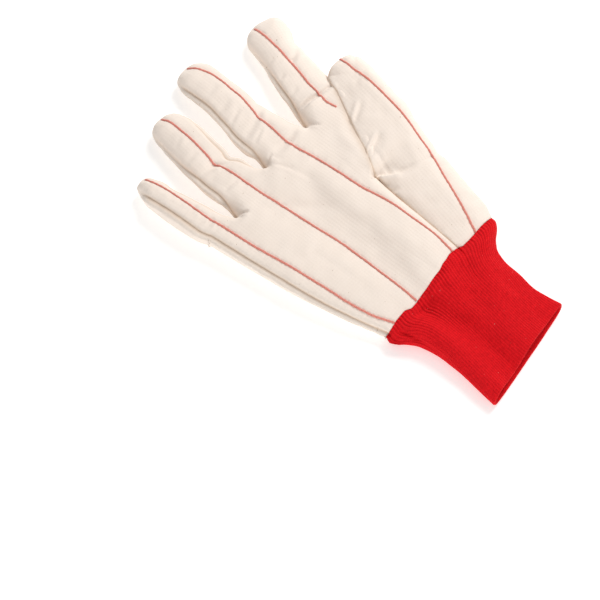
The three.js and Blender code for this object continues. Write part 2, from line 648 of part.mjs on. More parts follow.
/** A point of the thumb's outer surface: across from -1 at the palm to 1, along from 0 to 1. */
function thumbPoint(across, along, tipStep, front) {
  const section = thumbAt(along);
  const near = new THREE.Vector2(section.nearX, section.nearY);
  const far = new THREE.Vector2(section.farX, section.farY);
  if (along <= THUMB_OPEN) near.copy(patternCurve.thumbSeam.getPoint(along / THUMB_OPEN));
  const half = far.clone().sub(near).multiplyScalar(0.5);
  const aside = half.clone().normalize();
  const forward = new THREE.Vector2(-aside.y, aside.x);
  const power = THUMB_TIP.squareness;
  const full = Math.max(Math.abs(across), tipStep);
  const pull = tipStep > 0 ? full / (Math.abs(across) ** power + tipStep ** power) ** (1 / power) : 1;
  const u = across * pull;
  const ahead = tipStep * pull;
  const spot = near.clone().add(half).addScaledVector(half, u)
    .addScaledVector(forward, ahead * THUMB_TIP.length);
  const open = ease((along - THUMB_OPEN) / THUMB_OPENING);
  const onNear = across < -0.999 && tipStep === 0;
  const joined = onNear && along <= THUMB_OPEN;
  const seamTop = nearestSeam(palmOutline, near);
  const nearZ = along <= THUMB_OPEN ? seamHeight(seamTop) : section.nearZ;
  const chord = Math.max(mix(nearZ, section.farZ, (u + 1) / 2), open * heightOfHand(spot) + 0.5 * open);
  const atCrotch = joined && along > THUMB_OPEN - 0.01;
  if (full > 0.999 && !(joined && !atCrotch)) {
    const way = tipStep > 0
      ? half.clone().multiplyScalar(u * THUMB_TIP.length).addScaledVector(forward, ahead * half.length() ** 2)
      : aside.clone().multiplyScalar(Math.sign(u));
    way.normalize();
    const angle = radians(THUMB_NEAR_ANGLE) * open * ease(-u / 0.9);
    const facing = outAndUp(way, angle);
    const rising = outAndUp(way, angle + Math.PI / 2);
    const point = new THREE.Vector3(spot.x, spot.y, chord);
    point.addScaledVector(rising, (front ? SEAM_GAP : -SEAM_GAP) / 2);
    if (atCrotch) point.x += 2 * SEAM_SHIFT;
    return { point: point.addScaledVector(facing, atCrotch ? 0 : -SEAM_TUCK.depth), facing };
  }
  if (front) {
    if (joined) {
      const point = new THREE.Vector3(near.x + SEAM_SHIFT, near.y, chord);
      return { point, facing: new THREE.Vector3(0, 0, 1) };
    }
    const peak = section.skew;
    const side = u < peak ? (u + 1) / (peak + 1) : (1 - u) / (1 - peak);
    const round = Math.sqrt(1 - (1 - clamp01(side)) ** 2);
    const closing = Math.sqrt(Math.max(0, 1 - ahead ** THUMB_ROUNDNESS.closing));
    const height = mix(chord, section.crown, round * closing);
    const dent = foldDepth(THUMB_FOLDS, spot.x, spot.y) * round;
    return { point: new THREE.Vector3(spot.x, spot.y, Math.max(chord, height - dent)) };
  }
  const edgeZ = backPoint(spot, Infinity).point.z;
  if (joined) {
    const point = new THREE.Vector3(near.x + SEAM_SHIFT, near.y, edgeZ);
    return { point, facing: new THREE.Vector3(0, 0, -1) };
  }
  const roundness = THUMB_ROUNDNESS.tube;
  const tube = mix(chord, section.belly, (1 - full ** roundness) ** (1 / roundness));
  const farOnly = mix(chord, 0, (1 - Math.max(0, u) ** roundness) ** (1 / roundness));
  const beside = Math.max(edgeZ, farOnly);
  const height = along <= THUMB_OPEN ? beside : mix(beside, tube, open);
  return { point: new THREE.Vector3(spot.x, spot.y, Math.max(height, open * heightOfHand(spot))) };
}

/** The thumb's front or back, from the wrist seam round its tip. */
function thumbGeometry(front) {
  const sheet = new Sheet();
  const shares = cosineShares(THUMB_COLUMNS);
  const rows = [];
  for (let step = 0; step <= THUMB_STEPS; step += 1) rows.push({ along: step / THUMB_STEPS, tipStep: 0 });
  for (const tipStep of TIP_STEPS) rows.push({ along: 1, tipStep });
  const grid = rows.map(({ along, tipStep }, row) => shares.map((across, column) => (
    sheet.add(`${row} ${column}`, () => thumbPoint(across, along, tipStep, front))
  )));
  sheet.join(grid, !front);
  return sheet.wall(front ? CLOTH.thumbFront : CLOTH.thumbBack);
}

/** Points spaced evenly round a closed line. */
function evenly(line, count) {
  const curve = new THREE.CatmullRomCurve3(line, true, 'centripetal');
  curve.arcLengthDivisions = 600;
  return Array.from({ length: count }, (_, i) => curve.getPointAt(i / count));
}

/** The wrist seam as a closed line across the glove, from the outer seam over the palm and back. */
function wristLine() {
  const line = [];
  const shares = Array.from({ length: 9 }, (_, i) => i / 8);
  FINGERS.forEach((finger, strip) => {
    for (const spot of stripPlan(strip, shares)[0]) {
      const { point } = palmPoint(strip, 0.5, spot, 0);
      line.push(new THREE.Vector3(point.x, 0, point.z));
    }
  });
  for (const across of shares) {
    const { point } = thumbPoint(2 * across - 1, 0, 0, true);
    line.push(new THREE.Vector3(point.x, 0, point.z));
  }
  for (const across of [...shares].reverse()) {
    const { point } = thumbPoint(2 * across - 1, 0, 0, false);
    line.push(new THREE.Vector3(point.x, 0, point.z));
  }
  for (let strip = FINGERS.length - 1; strip >= 0; strip -= 1) {
    for (const spot of [...stripPlan(strip, shares)[0]].reverse()) {
      const { point } = backPoint(spot, Infinity);
      line.push(new THREE.Vector3(point.x, 0, point.z));
    }
  }
  return line.filter((point, index) => index === 0 || point.distanceTo(line[index - 1]) > 0.8);
}

/** A flattened ring of the knit wrist, round from its outer side over the top and back below. */
function knitRing(section, wrist, count) {
  const halfWidth = (section.right - section.left) / 2;
  const middle = (section.right + section.left) / 2;
  const steps = 96;
  const line = [];
  for (let step = 0; step < steps; step += 1) {
    const turn = Math.PI - (2 * Math.PI * step) / steps;
    const power = 2 / (Math.sin(turn) > 0 ? KNIT_ROUNDNESS.top : KNIT_ROUNDNESS.bottom);
    const x = middle + halfWidth * Math.sign(Math.cos(turn)) * Math.abs(Math.cos(turn)) ** power;
    const rise = Math.sign(Math.sin(turn)) * Math.abs(Math.sin(turn)) ** power;
    const z = (section.height / 2) * (1 + rise);
    line.push(new THREE.Vector3(x, 0, z));
  }
  return evenly(line, count).map((point, index) => {
    const mixed = point.lerp(wrist[index], section.follow);
    const nearHem = clamp01((HEM_SETBACK.y - section.y) / HEM_SETBACK.length);
    const setback = HEM_SETBACK.depth * (mixed.z / section.height) * nearHem;
    return new THREE.Vector3(mixed.x, section.y + section.tilt * mixed.x + setback, mixed.z);
  });
}

/** The knit wrist: a ribbed tube with a smooth lining, open at both ends. */
function knitGeometry() {
  const around = KNIT_RIBS * 2;
  const wristOuter = evenly(wristLine(), around);
  const columns = ['y', 'left', 'right', 'height', 'tilt', 'follow'];
  const sectionAt = through(KNIT, columns);
  const rows = 7;
  const outer = [];
  const inner = [];
  for (let row = 0; row < rows; row += 1) {
    const section = sectionAt(row / (rows - 1));
    section.y -= row === 0 ? SEAM_GAP / 2 : 0;
    section.follow = clamp01(section.follow);
    const ring = knitRing(section, wristOuter, around);
    const outward = ring.map((point, index) => {
      const run = ring[(index + 1) % around].clone().sub(ring[(index + around - 1) % around]);
      return new THREE.Vector3(-run.z, 0, run.x).normalize();
    });
    const skip = around / KNIT_LINING_STEPS;
    outer.push(ring.map((point, index) => {
      const raised = point.clone().addScaledVector(outward[index], index % 2 ? -KNIT_RIB_DEPTH : 0);
      raised.z = Math.max(0, raised.z);
      return raised;
    }));
    inner.push(Array.from({ length: KNIT_LINING_STEPS }, (_, index) => {
      const at = index * skip;
      return ring[at].clone().addScaledVector(outward[at], -CLOTH.knit);
    }));
  }
  const points = [...outer.flat(), ...inner.flat()];
  const innerStart = rows * around;
  const faces = [];
  const outerAt = (row, index) => row * around + (index % around);
  const innerAt = (row, index) => innerStart + row * KNIT_LINING_STEPS + (index % KNIT_LINING_STEPS);
  for (let row = 1; row < rows; row += 1) {
    for (let i = 0; i < around; i += 1) {
      const [a, b] = [outerAt(row - 1, i), outerAt(row - 1, i + 1)];
      const [c, d] = [outerAt(row, i + 1), outerAt(row, i)];
      faces.push([a, c, b], [a, d, c]);
    }
    for (let i = 0; i < KNIT_LINING_STEPS; i += 1) {
      const [a, b] = [innerAt(row - 1, i), innerAt(row - 1, i + 1)];
      const [c, d] = [innerAt(row, i + 1), innerAt(row, i)];
      faces.push([a, b, c], [a, c, d]);
    }
  }
  const perStep = around / KNIT_LINING_STEPS;
  for (const [row, flip] of [[0, false], [rows - 1, true]]) {
    for (let step = 0; step < KNIT_LINING_STEPS; step += 1) {
      const half = Math.floor(perStep / 2);
      for (let i = 0; i < perStep; i += 1) {
        const pivot = i < half ? innerAt(row, step) : innerAt(row, step + 1);
        const face = [outerAt(row, step * perStep + i), outerAt(row, step * perStep + i + 1), pivot];
        faces.push(flip ? face.reverse() : face);
      }
      const face = [innerAt(row, step), outerAt(row, step * perStep + half), innerAt(row, step + 1)];
      faces.push(flip ? face.reverse() : face);
    }
  }
  return solidGeometry(points, faces);
}

/** A named mesh in its cloth. */
function piece(name, geometry, colour, roughness) {
  const material = new THREE.MeshStandardMaterial({ color: colour, roughness, metalness: 0 });
  const mesh = new THREE.Mesh(geometry, material);
  mesh.name = name;
  return mesh;
}

const glove = new THREE.Group();
glove.add(piece('palm', palmGeometry(), COLOUR.canvas, 0.95));
FINGERS.forEach((finger, strip) => {
  glove.add(piece(`${finger.name}_back`, fingerBackGeometry(strip), COLOUR.canvas, 0.95));
});
glove.add(piece('thumb_front', thumbGeometry(true), COLOUR.canvas, 0.95));
glove.add(piece('thumb_back', thumbGeometry(false), COLOUR.canvas, 0.95));
glove.add(piece('knit_wrist', knitGeometry(), COLOUR.knit, 0.9));

export default glove;
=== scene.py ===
"""A right-hand double palm work glove with a knit wrist, lying palm up on a pale table."""

import logging
import math
from dataclasses import dataclass
from enum import Enum
from typing import Callable

import bpy
import numpy as np
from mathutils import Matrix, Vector


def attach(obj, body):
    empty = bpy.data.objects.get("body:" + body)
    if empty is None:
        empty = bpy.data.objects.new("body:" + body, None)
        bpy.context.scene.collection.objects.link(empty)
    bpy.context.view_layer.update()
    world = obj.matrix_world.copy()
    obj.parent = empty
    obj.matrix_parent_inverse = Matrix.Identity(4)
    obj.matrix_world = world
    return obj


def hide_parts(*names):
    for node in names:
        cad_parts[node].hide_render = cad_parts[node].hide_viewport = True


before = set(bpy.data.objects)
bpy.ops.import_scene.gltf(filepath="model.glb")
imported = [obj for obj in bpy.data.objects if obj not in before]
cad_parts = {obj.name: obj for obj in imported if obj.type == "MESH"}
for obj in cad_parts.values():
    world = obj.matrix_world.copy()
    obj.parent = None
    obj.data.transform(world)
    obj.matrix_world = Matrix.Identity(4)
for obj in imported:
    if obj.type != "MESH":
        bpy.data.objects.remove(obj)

MM = 0.001
FULL_TURN = 2 * math.pi
BODY = "root"
# The weave's coordinates are stored divided by this, and points nearer than this many mm become one.
WEAVE_SCALE = 100.0
MERGE_MM = 0.02
Colour = tuple[float, float, float, float]
LOG = logging.getLogger("glove")


class Cloth(Enum):
    """Names of the glove's three cloths."""

    PALM = "palm_canvas"
    BACK = "back_canvas"
    KNIT = "rib_knit"


# Numbers


def ease(share: np.ndarray) -> np.ndarray:
    """A smooth step from 0 to 1."""
    s = np.clip(share, 0, 1)
    return s * s * (3 - 2 * s)


def mix(a: np.ndarray, b: np.ndarray, share: np.ndarray) -> np.ndarray:
    """A value between a and b."""
    return a + (b - a) * share


def gauss(distance: np.ndarray, width: float) -> np.ndarray:
    """A bell of height 1 about distance 0."""
    return np.exp(-((distance / width) ** 2))


def unit(vectors: np.ndarray) -> np.ndarray:
    """Vectors of length 1."""
    length = np.linalg.norm(vectors, axis=-1, keepdims=True)
    return vectors / np.maximum(length, 1e-9)


def travelled(points: np.ndarray) -> np.ndarray:
    """How far along a line each of its points is."""
    return np.r_[0, np.cumsum(np.linalg.norm(np.diff(points, axis=0), axis=1))]


def powered(values: np.ndarray | float, power: np.ndarray | float) -> np.ndarray:
    """Values raised to a power, with their signs kept."""
    return np.sign(values) * abs(values) ** power


def spline(rows: np.ndarray, shares: np.ndarray) -> np.ndarray:
    """A smooth curve through the rows of a table.

    Args:
        rows: The table, one row for each point of the curve.
        shares: Places along it, from 0 to 1.

    Returns:
        One row for each share.
    """
    rows = np.asarray(rows, float)
    last = len(rows) - 1
    place = np.clip(np.asarray(shares, float), 0, 1) * last
    index = np.minimum(last - 1, np.floor(place)).astype(int)
    t = (place - index)[..., None]
    a, b = rows[np.maximum(0, index - 1)], rows[index]
    c, d = rows[index + 1], rows[np.minimum(last, index + 2)]
    return 0.5 * (2 * b + (c - a) * t + (2 * a - 5 * b + 4 * c - d) * t**2 + (3 * b - a - 3 * c + d) * t**3)


def look_up(keys: list[float], values: list[float], at: np.ndarray) -> np.ndarray:
    """Reads a table smoothly, with its end values held beyond it.

    Args:
        keys: The table's first column, rising.
        values: The column that is wanted.
        at: Places in the first column.

    Returns:
        A value for each place.
    """
    keys, values = np.asarray(keys, float), np.asarray(values, float)
    high = np.clip(np.searchsorted(keys, at), 1, len(keys) - 1)
    share = (at - keys[high - 1]) / (keys[high] - keys[high - 1])
    return mix(values[high - 1], values[high], ease(share))


# Lumps are a sum of waves, each this share of the lumps' size long, and up to the spread more.
# The level brings their sum to about 1.
LUMP_WAVES = 14
LUMP_SHORTEST = 0.7
LUMP_SPREAD = 0.8
LUMP_LEVEL = 3.4


@dataclass(frozen=True)
class Lumps:
    """Soft uneven lumps: height and size in mm, the seed, and how much longer than wide they are."""

    height: float
    size: float
    seed: int
    stretch: float = 1.0

    def at(self, x: np.ndarray, y: np.ndarray | float = 0.0) -> np.ndarray:
        """Their height at each place.

        Args:
            x: Places across, in mm.
            y: Places along, in mm.

        Returns:
            A height for each place, from about minus to plus the lumps' height.
        """
        rng = np.random.default_rng(self.seed)
        total = np.zeros(np.broadcast(x, y).shape)
        for turn, phase, scale in rng.uniform(size=(LUMP_WAVES, 3)):
            way = FULL_TURN * turn
            wave = FULL_TURN / (self.size * (LUMP_SHORTEST + LUMP_SPREAD * scale))
            run = x * math.cos(way) + y * math.sin(way) / self.stretch
            total += np.sin(wave * run + FULL_TURN * phase)
        return self.height * (total / LUMP_LEVEL)


# The pattern

# Lines on the flat pattern between the wrist seam and the finger crotches, little-finger side first.
PATTERN_LINES = {
    "outer": [(-43.6, -57), (-50, -35), (-55.1, -10), (-58.7, 17), (-61.4, 40), (-63, 55)],
    "little_ring": [(-26, -57), (-33, 0), (-39, 33), (-43.5, 53.5)],
    "ring_middle": [(1, -57), (-2.5, -28), (-5, 0), (-8, 38), (-8.8, 61.5)],
    "middle_index": [(9.5, -57), (15.5, 0), (22, 40), (26.3, 60.5)],
    "thumb_seam": [(20.5, -57), (21.5, -38), (22.6, -12), (24.5, 8)],
    "thumb_web": [(24.5, 8), (37, 17), (47.5, 33), (55.5, 50.5), (60, 66)],
}
STRIP_LINES = ["outer", "little_ring", "ring_middle", "middle_index"]
INDEX_STRIP = 3
WRIST_Y = -57
THUMB_CROTCH_Y = PATTERN_LINES["thumb_web"][0][1]
WEB_END_Y = PATTERN_LINES["thumb_web"][-1][1]


@dataclass(frozen=True)
class Section:
    """One section of a finger: its middle, half width and height, and how far round each seam sits."""

    x: float
    y: float
    half: float
    height: float
    outer_seam: float
    inner_seam: float


@dataclass(frozen=True)
class Bump:
    """A place where a finger's side stands out, or is drawn in, by a few tenths of a millimetre or more."""

    side: int
    y: float
    out: float
    length: float


@dataclass(frozen=True)
class Finger:
    """A finger's sections from its crotches to the start of its tip, its tip and the bumps of its sides."""

    name: str
    tip_length: float
    tip_seam: float
    squareness: tuple[float, float]
    sections: tuple[Section, ...]
    bumps: tuple[Bump, ...]


FINGERS = (
    Finger("little", 12.6, 12, (3.0, 2.3), (
        Section(-58.2, 63, 10.2, 15.5, 48, 24),
        Section(-59.9, 74, 9.9, 16, 54, 26),
        Section(-61.2, 86, 9.2, 15.5, 56, 26),
        Section(-61.9, 98, 8.2, 14.5, 50, 22),
    ), (Bump(1, 100, 0.6, 4), Bump(1, 92, -0.3, 4))),
    Finger("ring", 13.6, 8, (2.7, 2.3), (
        Section(-27.6, 68, 14.8, 15, 36, 34),
        Section(-28.3, 80, 13.6, 14, 40, 42),
        Section(-27.9, 93, 13.3, 15.5, 28, 42),
        Section(-26.2, 106, 12.5, 15.5, 16, 28),
        Section(-24.6, 116, 11.8, 14.5, 6, 16),
    ), (Bump(-1, 77, 0.9, 9), Bump(1, 108, 0.4, 8), Bump(1, 81.5, -1.9, 3.4), Bump(1, 74, 0.6, 4))),
    Finger("middle", 12.8, 8, (3.4, 1.95), (
        Section(7.3, 73, 15.1, 16, 37, 14),
        Section(7.4, 85, 14.3, 15, 38, 10),
        Section(8.6, 98, 13.0, 15.5, 32, 8),
        Section(10.5, 112, 12.7, 15.5, 32, 6),
        Section(11.0, 128, 12.2, 14.5, 24, 6),
    ), (
        Bump(-1, 87, 0.8, 7),
        Bump(-1, 76, 1.2, 8),
        Bump(1, 115, -0.7, 6),
        Bump(1, 99, 0.3, 4),
        Bump(1, 93, -0.8, 3),
        Bump(1, 76, 0.5, 5),
    )),
    Finger("index", 12.1, 8, (2.0, 3.7), (
        Section(46.2, 74, 14.8, 15, 26, 18),
        Section(49.9, 88, 13.8, 15.5, 24, 20),
        Section(54.4, 101, 13.2, 15.5, 16, 18),
        Section(59.5, 116.5, 13.7, 14.5, 4, 14),
    ), (Bump(-1, 89, 0.2, 14), Bump(1, 102, -2.4, 5.5), Bump(1, 92, -0.7, 4))),
)

# Height of the palm over each finger's line, from the wrist to the crotches.
PALM_Y = [-57, -38, -10, 20, 45, 62]
PALM_CROWNS = {
    "little": [12, 14, 15, 15.5, 15.5, 15.5],
    "ring": [12.5, 12.5, 13, 14, 15.5, 15],
    "middle": [14, 15.5, 15.5, 15.5, 16.5, 16.5],
    "index": [13, 15, 16, 16.5, 17, 16],
}
# How the outer seam is rounded: the seam's angle, the edge's reach and half its height.
OUTER_Y = [-57, -30, 10, 55]
OUTER_EDGE = {"angle": [16, 28, 38, 46], "spread": [10, 12, 12, 9], "half": [6, 7, 7.6, 7.8]}
# The web beside the thumb, from the thumb's crotch to the index finger.
WEB_SHARES = [0, 0.4, 1]
WEB_EDGE = {"angle": [50, 26, 14], "spread": [6, 4, 4], "half": [7.5, 6.8, 6.4]}
EDGE_KEYS = ("angle", "spread", "half")
# The same three values in a crotch, and how far from one the fingers stand clear.
CROTCH_EDGE = (6, 7, 5.4)
CROTCH_REACH = 16
# A finger's edge reaches in by its half width, up to this.
FINGER_EDGE_REACH = 11
# Where a seam lies flat without a roll beside it, down to -1: over the tips and toward them on each side.
FLAT_SEAM = {"tip": -0.8, "right": [-0.6, -0.2, -0.7, -0.8], "left": [0, -0.5, 0, -0.7]}
# Up a finger's left side the seam turns flat from this share of its length and over this share.
LEFT_FLAT_FROM = 0.45
LEFT_FLAT_OVER = 0.35
# How fast the seam turns to the tip's values on its way round.
TIP_ANGLE_RATE = 1.3
TIP_FLAT_RATE = 1.4
THUMB_GROOVE = {"height": 13.2, "wrist_height": 12, "spread": 7, "rise_over": 0.6, "blend_over": 0.3}
THUMB_CROTCH_SHARE = 0.58
# Points along each part of a seam.
SEAM_POINTS = 60
TIP_POINTS = 81
WEB_POINTS = 40
WEB_STEPS = 24
# A plain line's points for each of its places, and the step along it in mm.
ROUGH_POINTS = 40
LINE_STEP = 1.5

# The thumb's sections: its near seam beside the palm, its far seam, its height and where it is highest.
THUMB_COLUMNS = ["near_x", "near_y", "near_z", "far_x", "far_y", "far_z", "crown", "skew", "belly"]
THUMB = [
    (20.5, -57, 12, 50.4, -57, 6, 14.2, 0.1, 0),
    (21.5, -38, 11, 56, -41, 6.5, 16.6, 0.1, 0),
    (22.6, -12, 10.2, 62, -18, 7, 18.8, 0.1, 0),
    (24.5, 8, 13.2, 67.2, 3, 7.5, 21, 0.25, 0.6),
    (32.2, 22, 16.6, 72.6, 17, 8, 22, 0.35, 1.4),
    (39.3, 36, 16.6, 76.8, 31, 8.5, 22, 0.35, 1.8),
    (46.6, 49, 16.0, 79.8, 43, 9, 22, 0.35, 2.2),
    (52.8, 60, 16.2, 81.8, 55.5, 9.5, 20.6, 0.3, 2.6),
]
THUMB_OPEN = 3 / 7
THUMB_TIP = {"length": 15.8, "near_squareness": 2.3, "far_squareness": 4.4}
# The thumb's near edge is pressed into the palm's cloth, the edge of its back deeper than that of its front.
THUMB_REST = {"clearance": 0.2, "wrap": 1.6, "front_sunk": 0.6, "back_sunk": 1.8, "starts_below_crotch": 2}
# The thumb's far side as two lobes with a crease between them, y first.
THUMB_SIDE = [
    (-57, 50.4), (-50, 54.2), (-38, 56.6), (-26, 59.7), (-15.5, 62.4), (-9.5, 61.8), (-4, 64.3), (2, 66),
    (9, 68.2), (14.5, 69.8), (19, 72.8), (24, 74.6), (32, 75.3), (42, 77.6), (52, 79.9), (58, 81.2),
]
# The crease below the thumb's belly, x first.
BELLY_CREASE = [(22, 8), (26, 6.5), (30, 2), (35, -3.4), (41, -5.9), (50, -8.5), (57, -10.3)]
# The wrist seam bows toward the fingers: how far, by the place across.
WRIST_BOW = [
    (-43, 0.2), (-35, 1.1), (-29, 1.1), (-24, -1.0), (-13, -0.4), (0.5, 0.4), (7.5, 1.7), (14.5, 2.8),
    (20.5, 2.2), (23.5, 0.5), (29, 0.1), (37.5, 0.2), (49, -0.3),
]
WRIST_BOW_FADE = {"hand": 22, "knit": 12}
WRIST_TUCK = {"depth": 0.6, "width": 1.2, "from_height": 5}

# The red quilting lines, from a fingertip to the wrist.
QUILT_LINES = {
    "little": [
        (-59.8, 108), (-57, 94.4), (-56.4, 80.5), (-55.9, 63.7), (-54.4, 50.8), (-52.8, 32.3), (-49.1, 7.7),
        (-46.1, -17.6), (-44.8, -30.1), (-42, -44.1), (-36.6, -57),
    ],
    "ring": [
        (-24.3, 127.5), (-23, 120.6), (-23.4, 112), (-24.3, 102.9), (-26.2, 91), (-27.3, 84.5), (-25.8, 79.5),
        (-25, 68), (-24.5, 52.9), (-23.3, 40), (-21, 15), (-18.9, -5.4), (-18.6, -30), (-19.4, -57),
    ],
    "middle": [
        (10.9, 138.5), (14.4, 132), (16.7, 122.4), (16.2, 110), (15.6, 100), (13, 89), (11.4, 83), (11.2, 75),
        (9.6, 63), (10.3, 52), (12.1, 39), (12.6, 23.8), (13.6, 8), (16.2, -6), (16.9, -24), (17.8, -41.8),
        (15.8, -57),
    ],
    "index": [
        (57.3, 126.5), (56.1, 116.3), (54.5, 106.7), (52.5, 96.8), (50.5, 87), (47.9, 77.2), (46.2, 69),
        (44.4, 61), (45.2, 53.5),
    ],
}
THUMB_LINE = [
    (71.6, 74.6), (70.6, 69), (69.4, 60), (69.0, 51.8), (66.5, 35.0), (63.4, 19.2), (59.0, 4.0), (55.0, -9.3),
    (49.3, -22.4), (42.0, -39.5), (34.3, -57),
]


@dataclass(frozen=True)
class Fold:
    """A valley pressed into the cloth from one place to another, with a ridge beside it.

    The overrun and the fade are shares of its length, and the last four sizes are shares of its width.
    """

    x: float
    y: float
    to_x: float
    to_y: float
    depth: float
    width: float
    ridge: float = 0.35
    overrun: float = 0.12
    fade: float = 0.3
    wander: float = 0.22
    wander_rate: float = 5.1
    ridge_at: float = 1.9
    ridge_width: float = 1.2

    def press(self, x: np.ndarray, y: np.ndarray) -> np.ndarray:
        """How far the cloth is pressed down at each place, less than 0 where it stands up."""
        run = np.array([self.to_x - self.x, self.to_y - self.y], float)
        length = float(np.linalg.norm(run))
        run /= length
        share = ((x - self.x) * run[0] + (y - self.y) * run[1]) / length
        aside = (x - self.x) * run[1] - (y - self.y) * run[0]
        aside = aside + self.wander * self.width * np.sin(share * self.wander_rate + self.x)
        fade = ease((share + self.overrun) / self.fade) * ease((1 + self.overrun - share) / self.fade)
        ridge = self.ridge * gauss(aside - self.ridge_at * self.width, self.ridge_width * self.width)
        return self.depth * fade * (gauss(aside, self.width) - ridge)


@dataclass(frozen=True)
class Swell:
    """A long soft rise of the cloth along a path, or a hollow where its height is less than 0."""

    path: tuple[tuple[float, float], ...]
    height: float
    left: float
    right: float

    def lift(self, x: np.ndarray, y: np.ndarray) -> np.ndarray:
        """How far the cloth is raised at each place."""
        found = Outline.plain(self.path).nearest(np.c_[x, y])
        return self.height * gauss(found.distance, np.where(found.inside, self.right, self.left))


@dataclass(frozen=True)
class Step:
    """A place where the cloth climbs from the little finger's side to the thumb's side of a path."""

    path: tuple[tuple[float, float], ...]
    height: float
    width: float
    reach: float
    top: float
    top_fade: float = 20

    def lift(self, x: np.ndarray, y: np.ndarray) -> np.ndarray:
        """How far the cloth is raised at each place, falling again beyond the reach and above the top."""
        found = Outline.plain(self.path).nearest(np.c_[x, y])
        aside = np.where(found.inside, found.distance, -found.distance)
        climb = 0.5 + 0.5 * np.tanh(aside / self.width)
        fall = np.exp(-np.maximum(0, aside) / self.reach)
        return self.height * climb * fall * ease((self.top - y) / self.top_fade)


PALM_PATH = (
    (-10, -62), (-8.5, -50), (-5.5, -38), (-2.2, -25), (-1.0, -12),
    (-1.0, 2), (-1.2, 15), (0.5, 30), (2, 45), (3, 75),
)
PALM_SWELLS = (
    Step(PALM_PATH, 5.0, 6.0, 28, 42),
    Swell(((-22, 50), (-18, 36), (-14, 22), (-12, 1), (-12, -19), (-13, -38)), -0.4, 6, 5),
    Swell(((-42, 45), (-36, 24), (-31, 0), (-28, -25), (-25, -45)), 0.7, 7, 6),
    Swell(((-34, 4), (-32.5, -12), (-31.5, -30)), -0.5, 3, 3),
    Swell(((-31, 47), (-26, 37)), -0.7, 4, 4),
    Swell(((33, 40), (29, 22), (26, 10)), 0.6, 4, 3),
)
HAND_FOLDS = (
    Fold(-22, 39, -5, 12, 0.8, 3.4, 0.2),
    Fold(-41, 86, -27, 83, 0.9, 1.9, 0.5),
    Fold(-30, 84, -18, 77, 0.9, 1.9, 0.5),
    Fold(-42, 79, -30, 80, 0.6, 3.0, 0.5),
    Fold(-36, 68, -27, 66.5, 0.6, 1.2, 0.5),
    Fold(-40, 97, -29, 95.5, 0.5, 1.6, 0.5),
    Fold(-34, 108, -26, 110, 0.4, 1.4, 0.5),
    Fold(-4, 81, 11, 84, 0.8, 2.3, 0.5),
    Fold(11, 84, 20, 88, 1.0, 1.8, 0.5),
    Fold(-4, 104, 10, 104.6, 0.5, 2.2, 0.5),
    Fold(-4, 62, 10, 60.4, 0.7, 2.2, 0.5),
    Fold(10, 60.4, 21, 62.5, 0.6, 2.0, 0.5),
    Fold(-2, 94, 8, 95.5, 0.6, 1.3, 0.5),
    Fold(-3, 75, 7, 77, 0.6, 1.2, 0.5),
    Fold(2, 118, 12, 116, 0.4, 1.6, 0.5),
    Fold(28, 72.5, 45, 66.4, 2.5, 1.5, 0.5),
    Fold(44, 66.5, 58, 65, 1.3, 1.3, 0.6),
    Fold(33, 93.5, 43, 91, 1.0, 1.2, 0.6),
    Fold(52, 93, 64, 98.5, 1.1, 1.8, 0.5),
    Fold(41, 104, 48, 103, 0.5, 1.3, 0.5),
    Fold(33, 80, 42, 80.5, 0.5, 1.5, 0.5),
    Fold(-6, 57, -1, 47, 0.6, 1.2, 0.5),
    Fold(-2, 49, 0, 34, 0.4, 1.3, 0.5),
    Fold(-61, 88, -54, 87, 0.6, 1.4, 0.5),
    Fold(-60, 73, -53, 75, 0.5, 1.4, 0.5),
    Fold(-60, 60, -54, 61, 0.4, 1.4, 0.5),
    Fold(-42.5, 52.5, -38.5, 48.5, 1.6, 0.8, 0.4),
    Fold(-8, 60.5, -3.8, 62.5, 1.4, 0.8, 0.4),
    Fold(-3, 64, -1.5, 55, 0.6, 1.0, 0.4),
    Fold(27, 59, 30, 53, 1.0, 0.9, 0.4),
)
THUMB_SWELLS = (
    Swell(((67, 46), (65, 30), (61, 12), (56.5, -4)), 1.2, 9, 5),
    Swell(((55, 56), (53, 49), (47, 44)), -0.5, 3.5, 4),
    Swell(((44, 21), (37, 16), (34, 5)), -0.7, 3, 4),
    Swell(((24.8, 5), (28, 2.2), (31, -1.5)), 2.0, 3.0, 3.2),
    Swell(((25.5, -11), (28, -17)), 0.7, 2.5, 4),
    Swell(((46, -15), (43, -30), (40, -46)), 0.8, 5, 5),
)
THUMB_FOLDS = (
    Fold(42, 40.5, 54, 45, -0.8, 1.3, 0.9),
    Fold(30, 20.3, 45, 24, -1.0, 1.2, 0.9),
    Fold(37.3, 16.5, 32.8, 0, -0.6, 0.9, 0.7),
    Fold(22.6, 8.6, 27, 7.2, 1.2, 1.0, 0.4),
    Fold(26.6, 6.8, 31, 3, 1.0, 1.2, 0.4),
    Fold(22.5, 1.5, 26, -1.5, 0.9, 1.1, 0.3),
    Fold(22, -4.2, 27, -7.2, 1.2, 1.0, 0.5),
    Fold(31, 0.5, 56, -9.8, 0.7, 1.3, 0.3),
    Fold(70, 17, 76, 21, 0.9, 1.6, 0.5),
    Fold(60, -11, 64, -9.5, 0.8, 1.4, 0.5),
    Fold(60, 52, 66, 55, 0.3, 1.8, 0.5),
    Fold(26, -25, 34, -28, 0.3, 1.6, 0.5),
)


# Seams


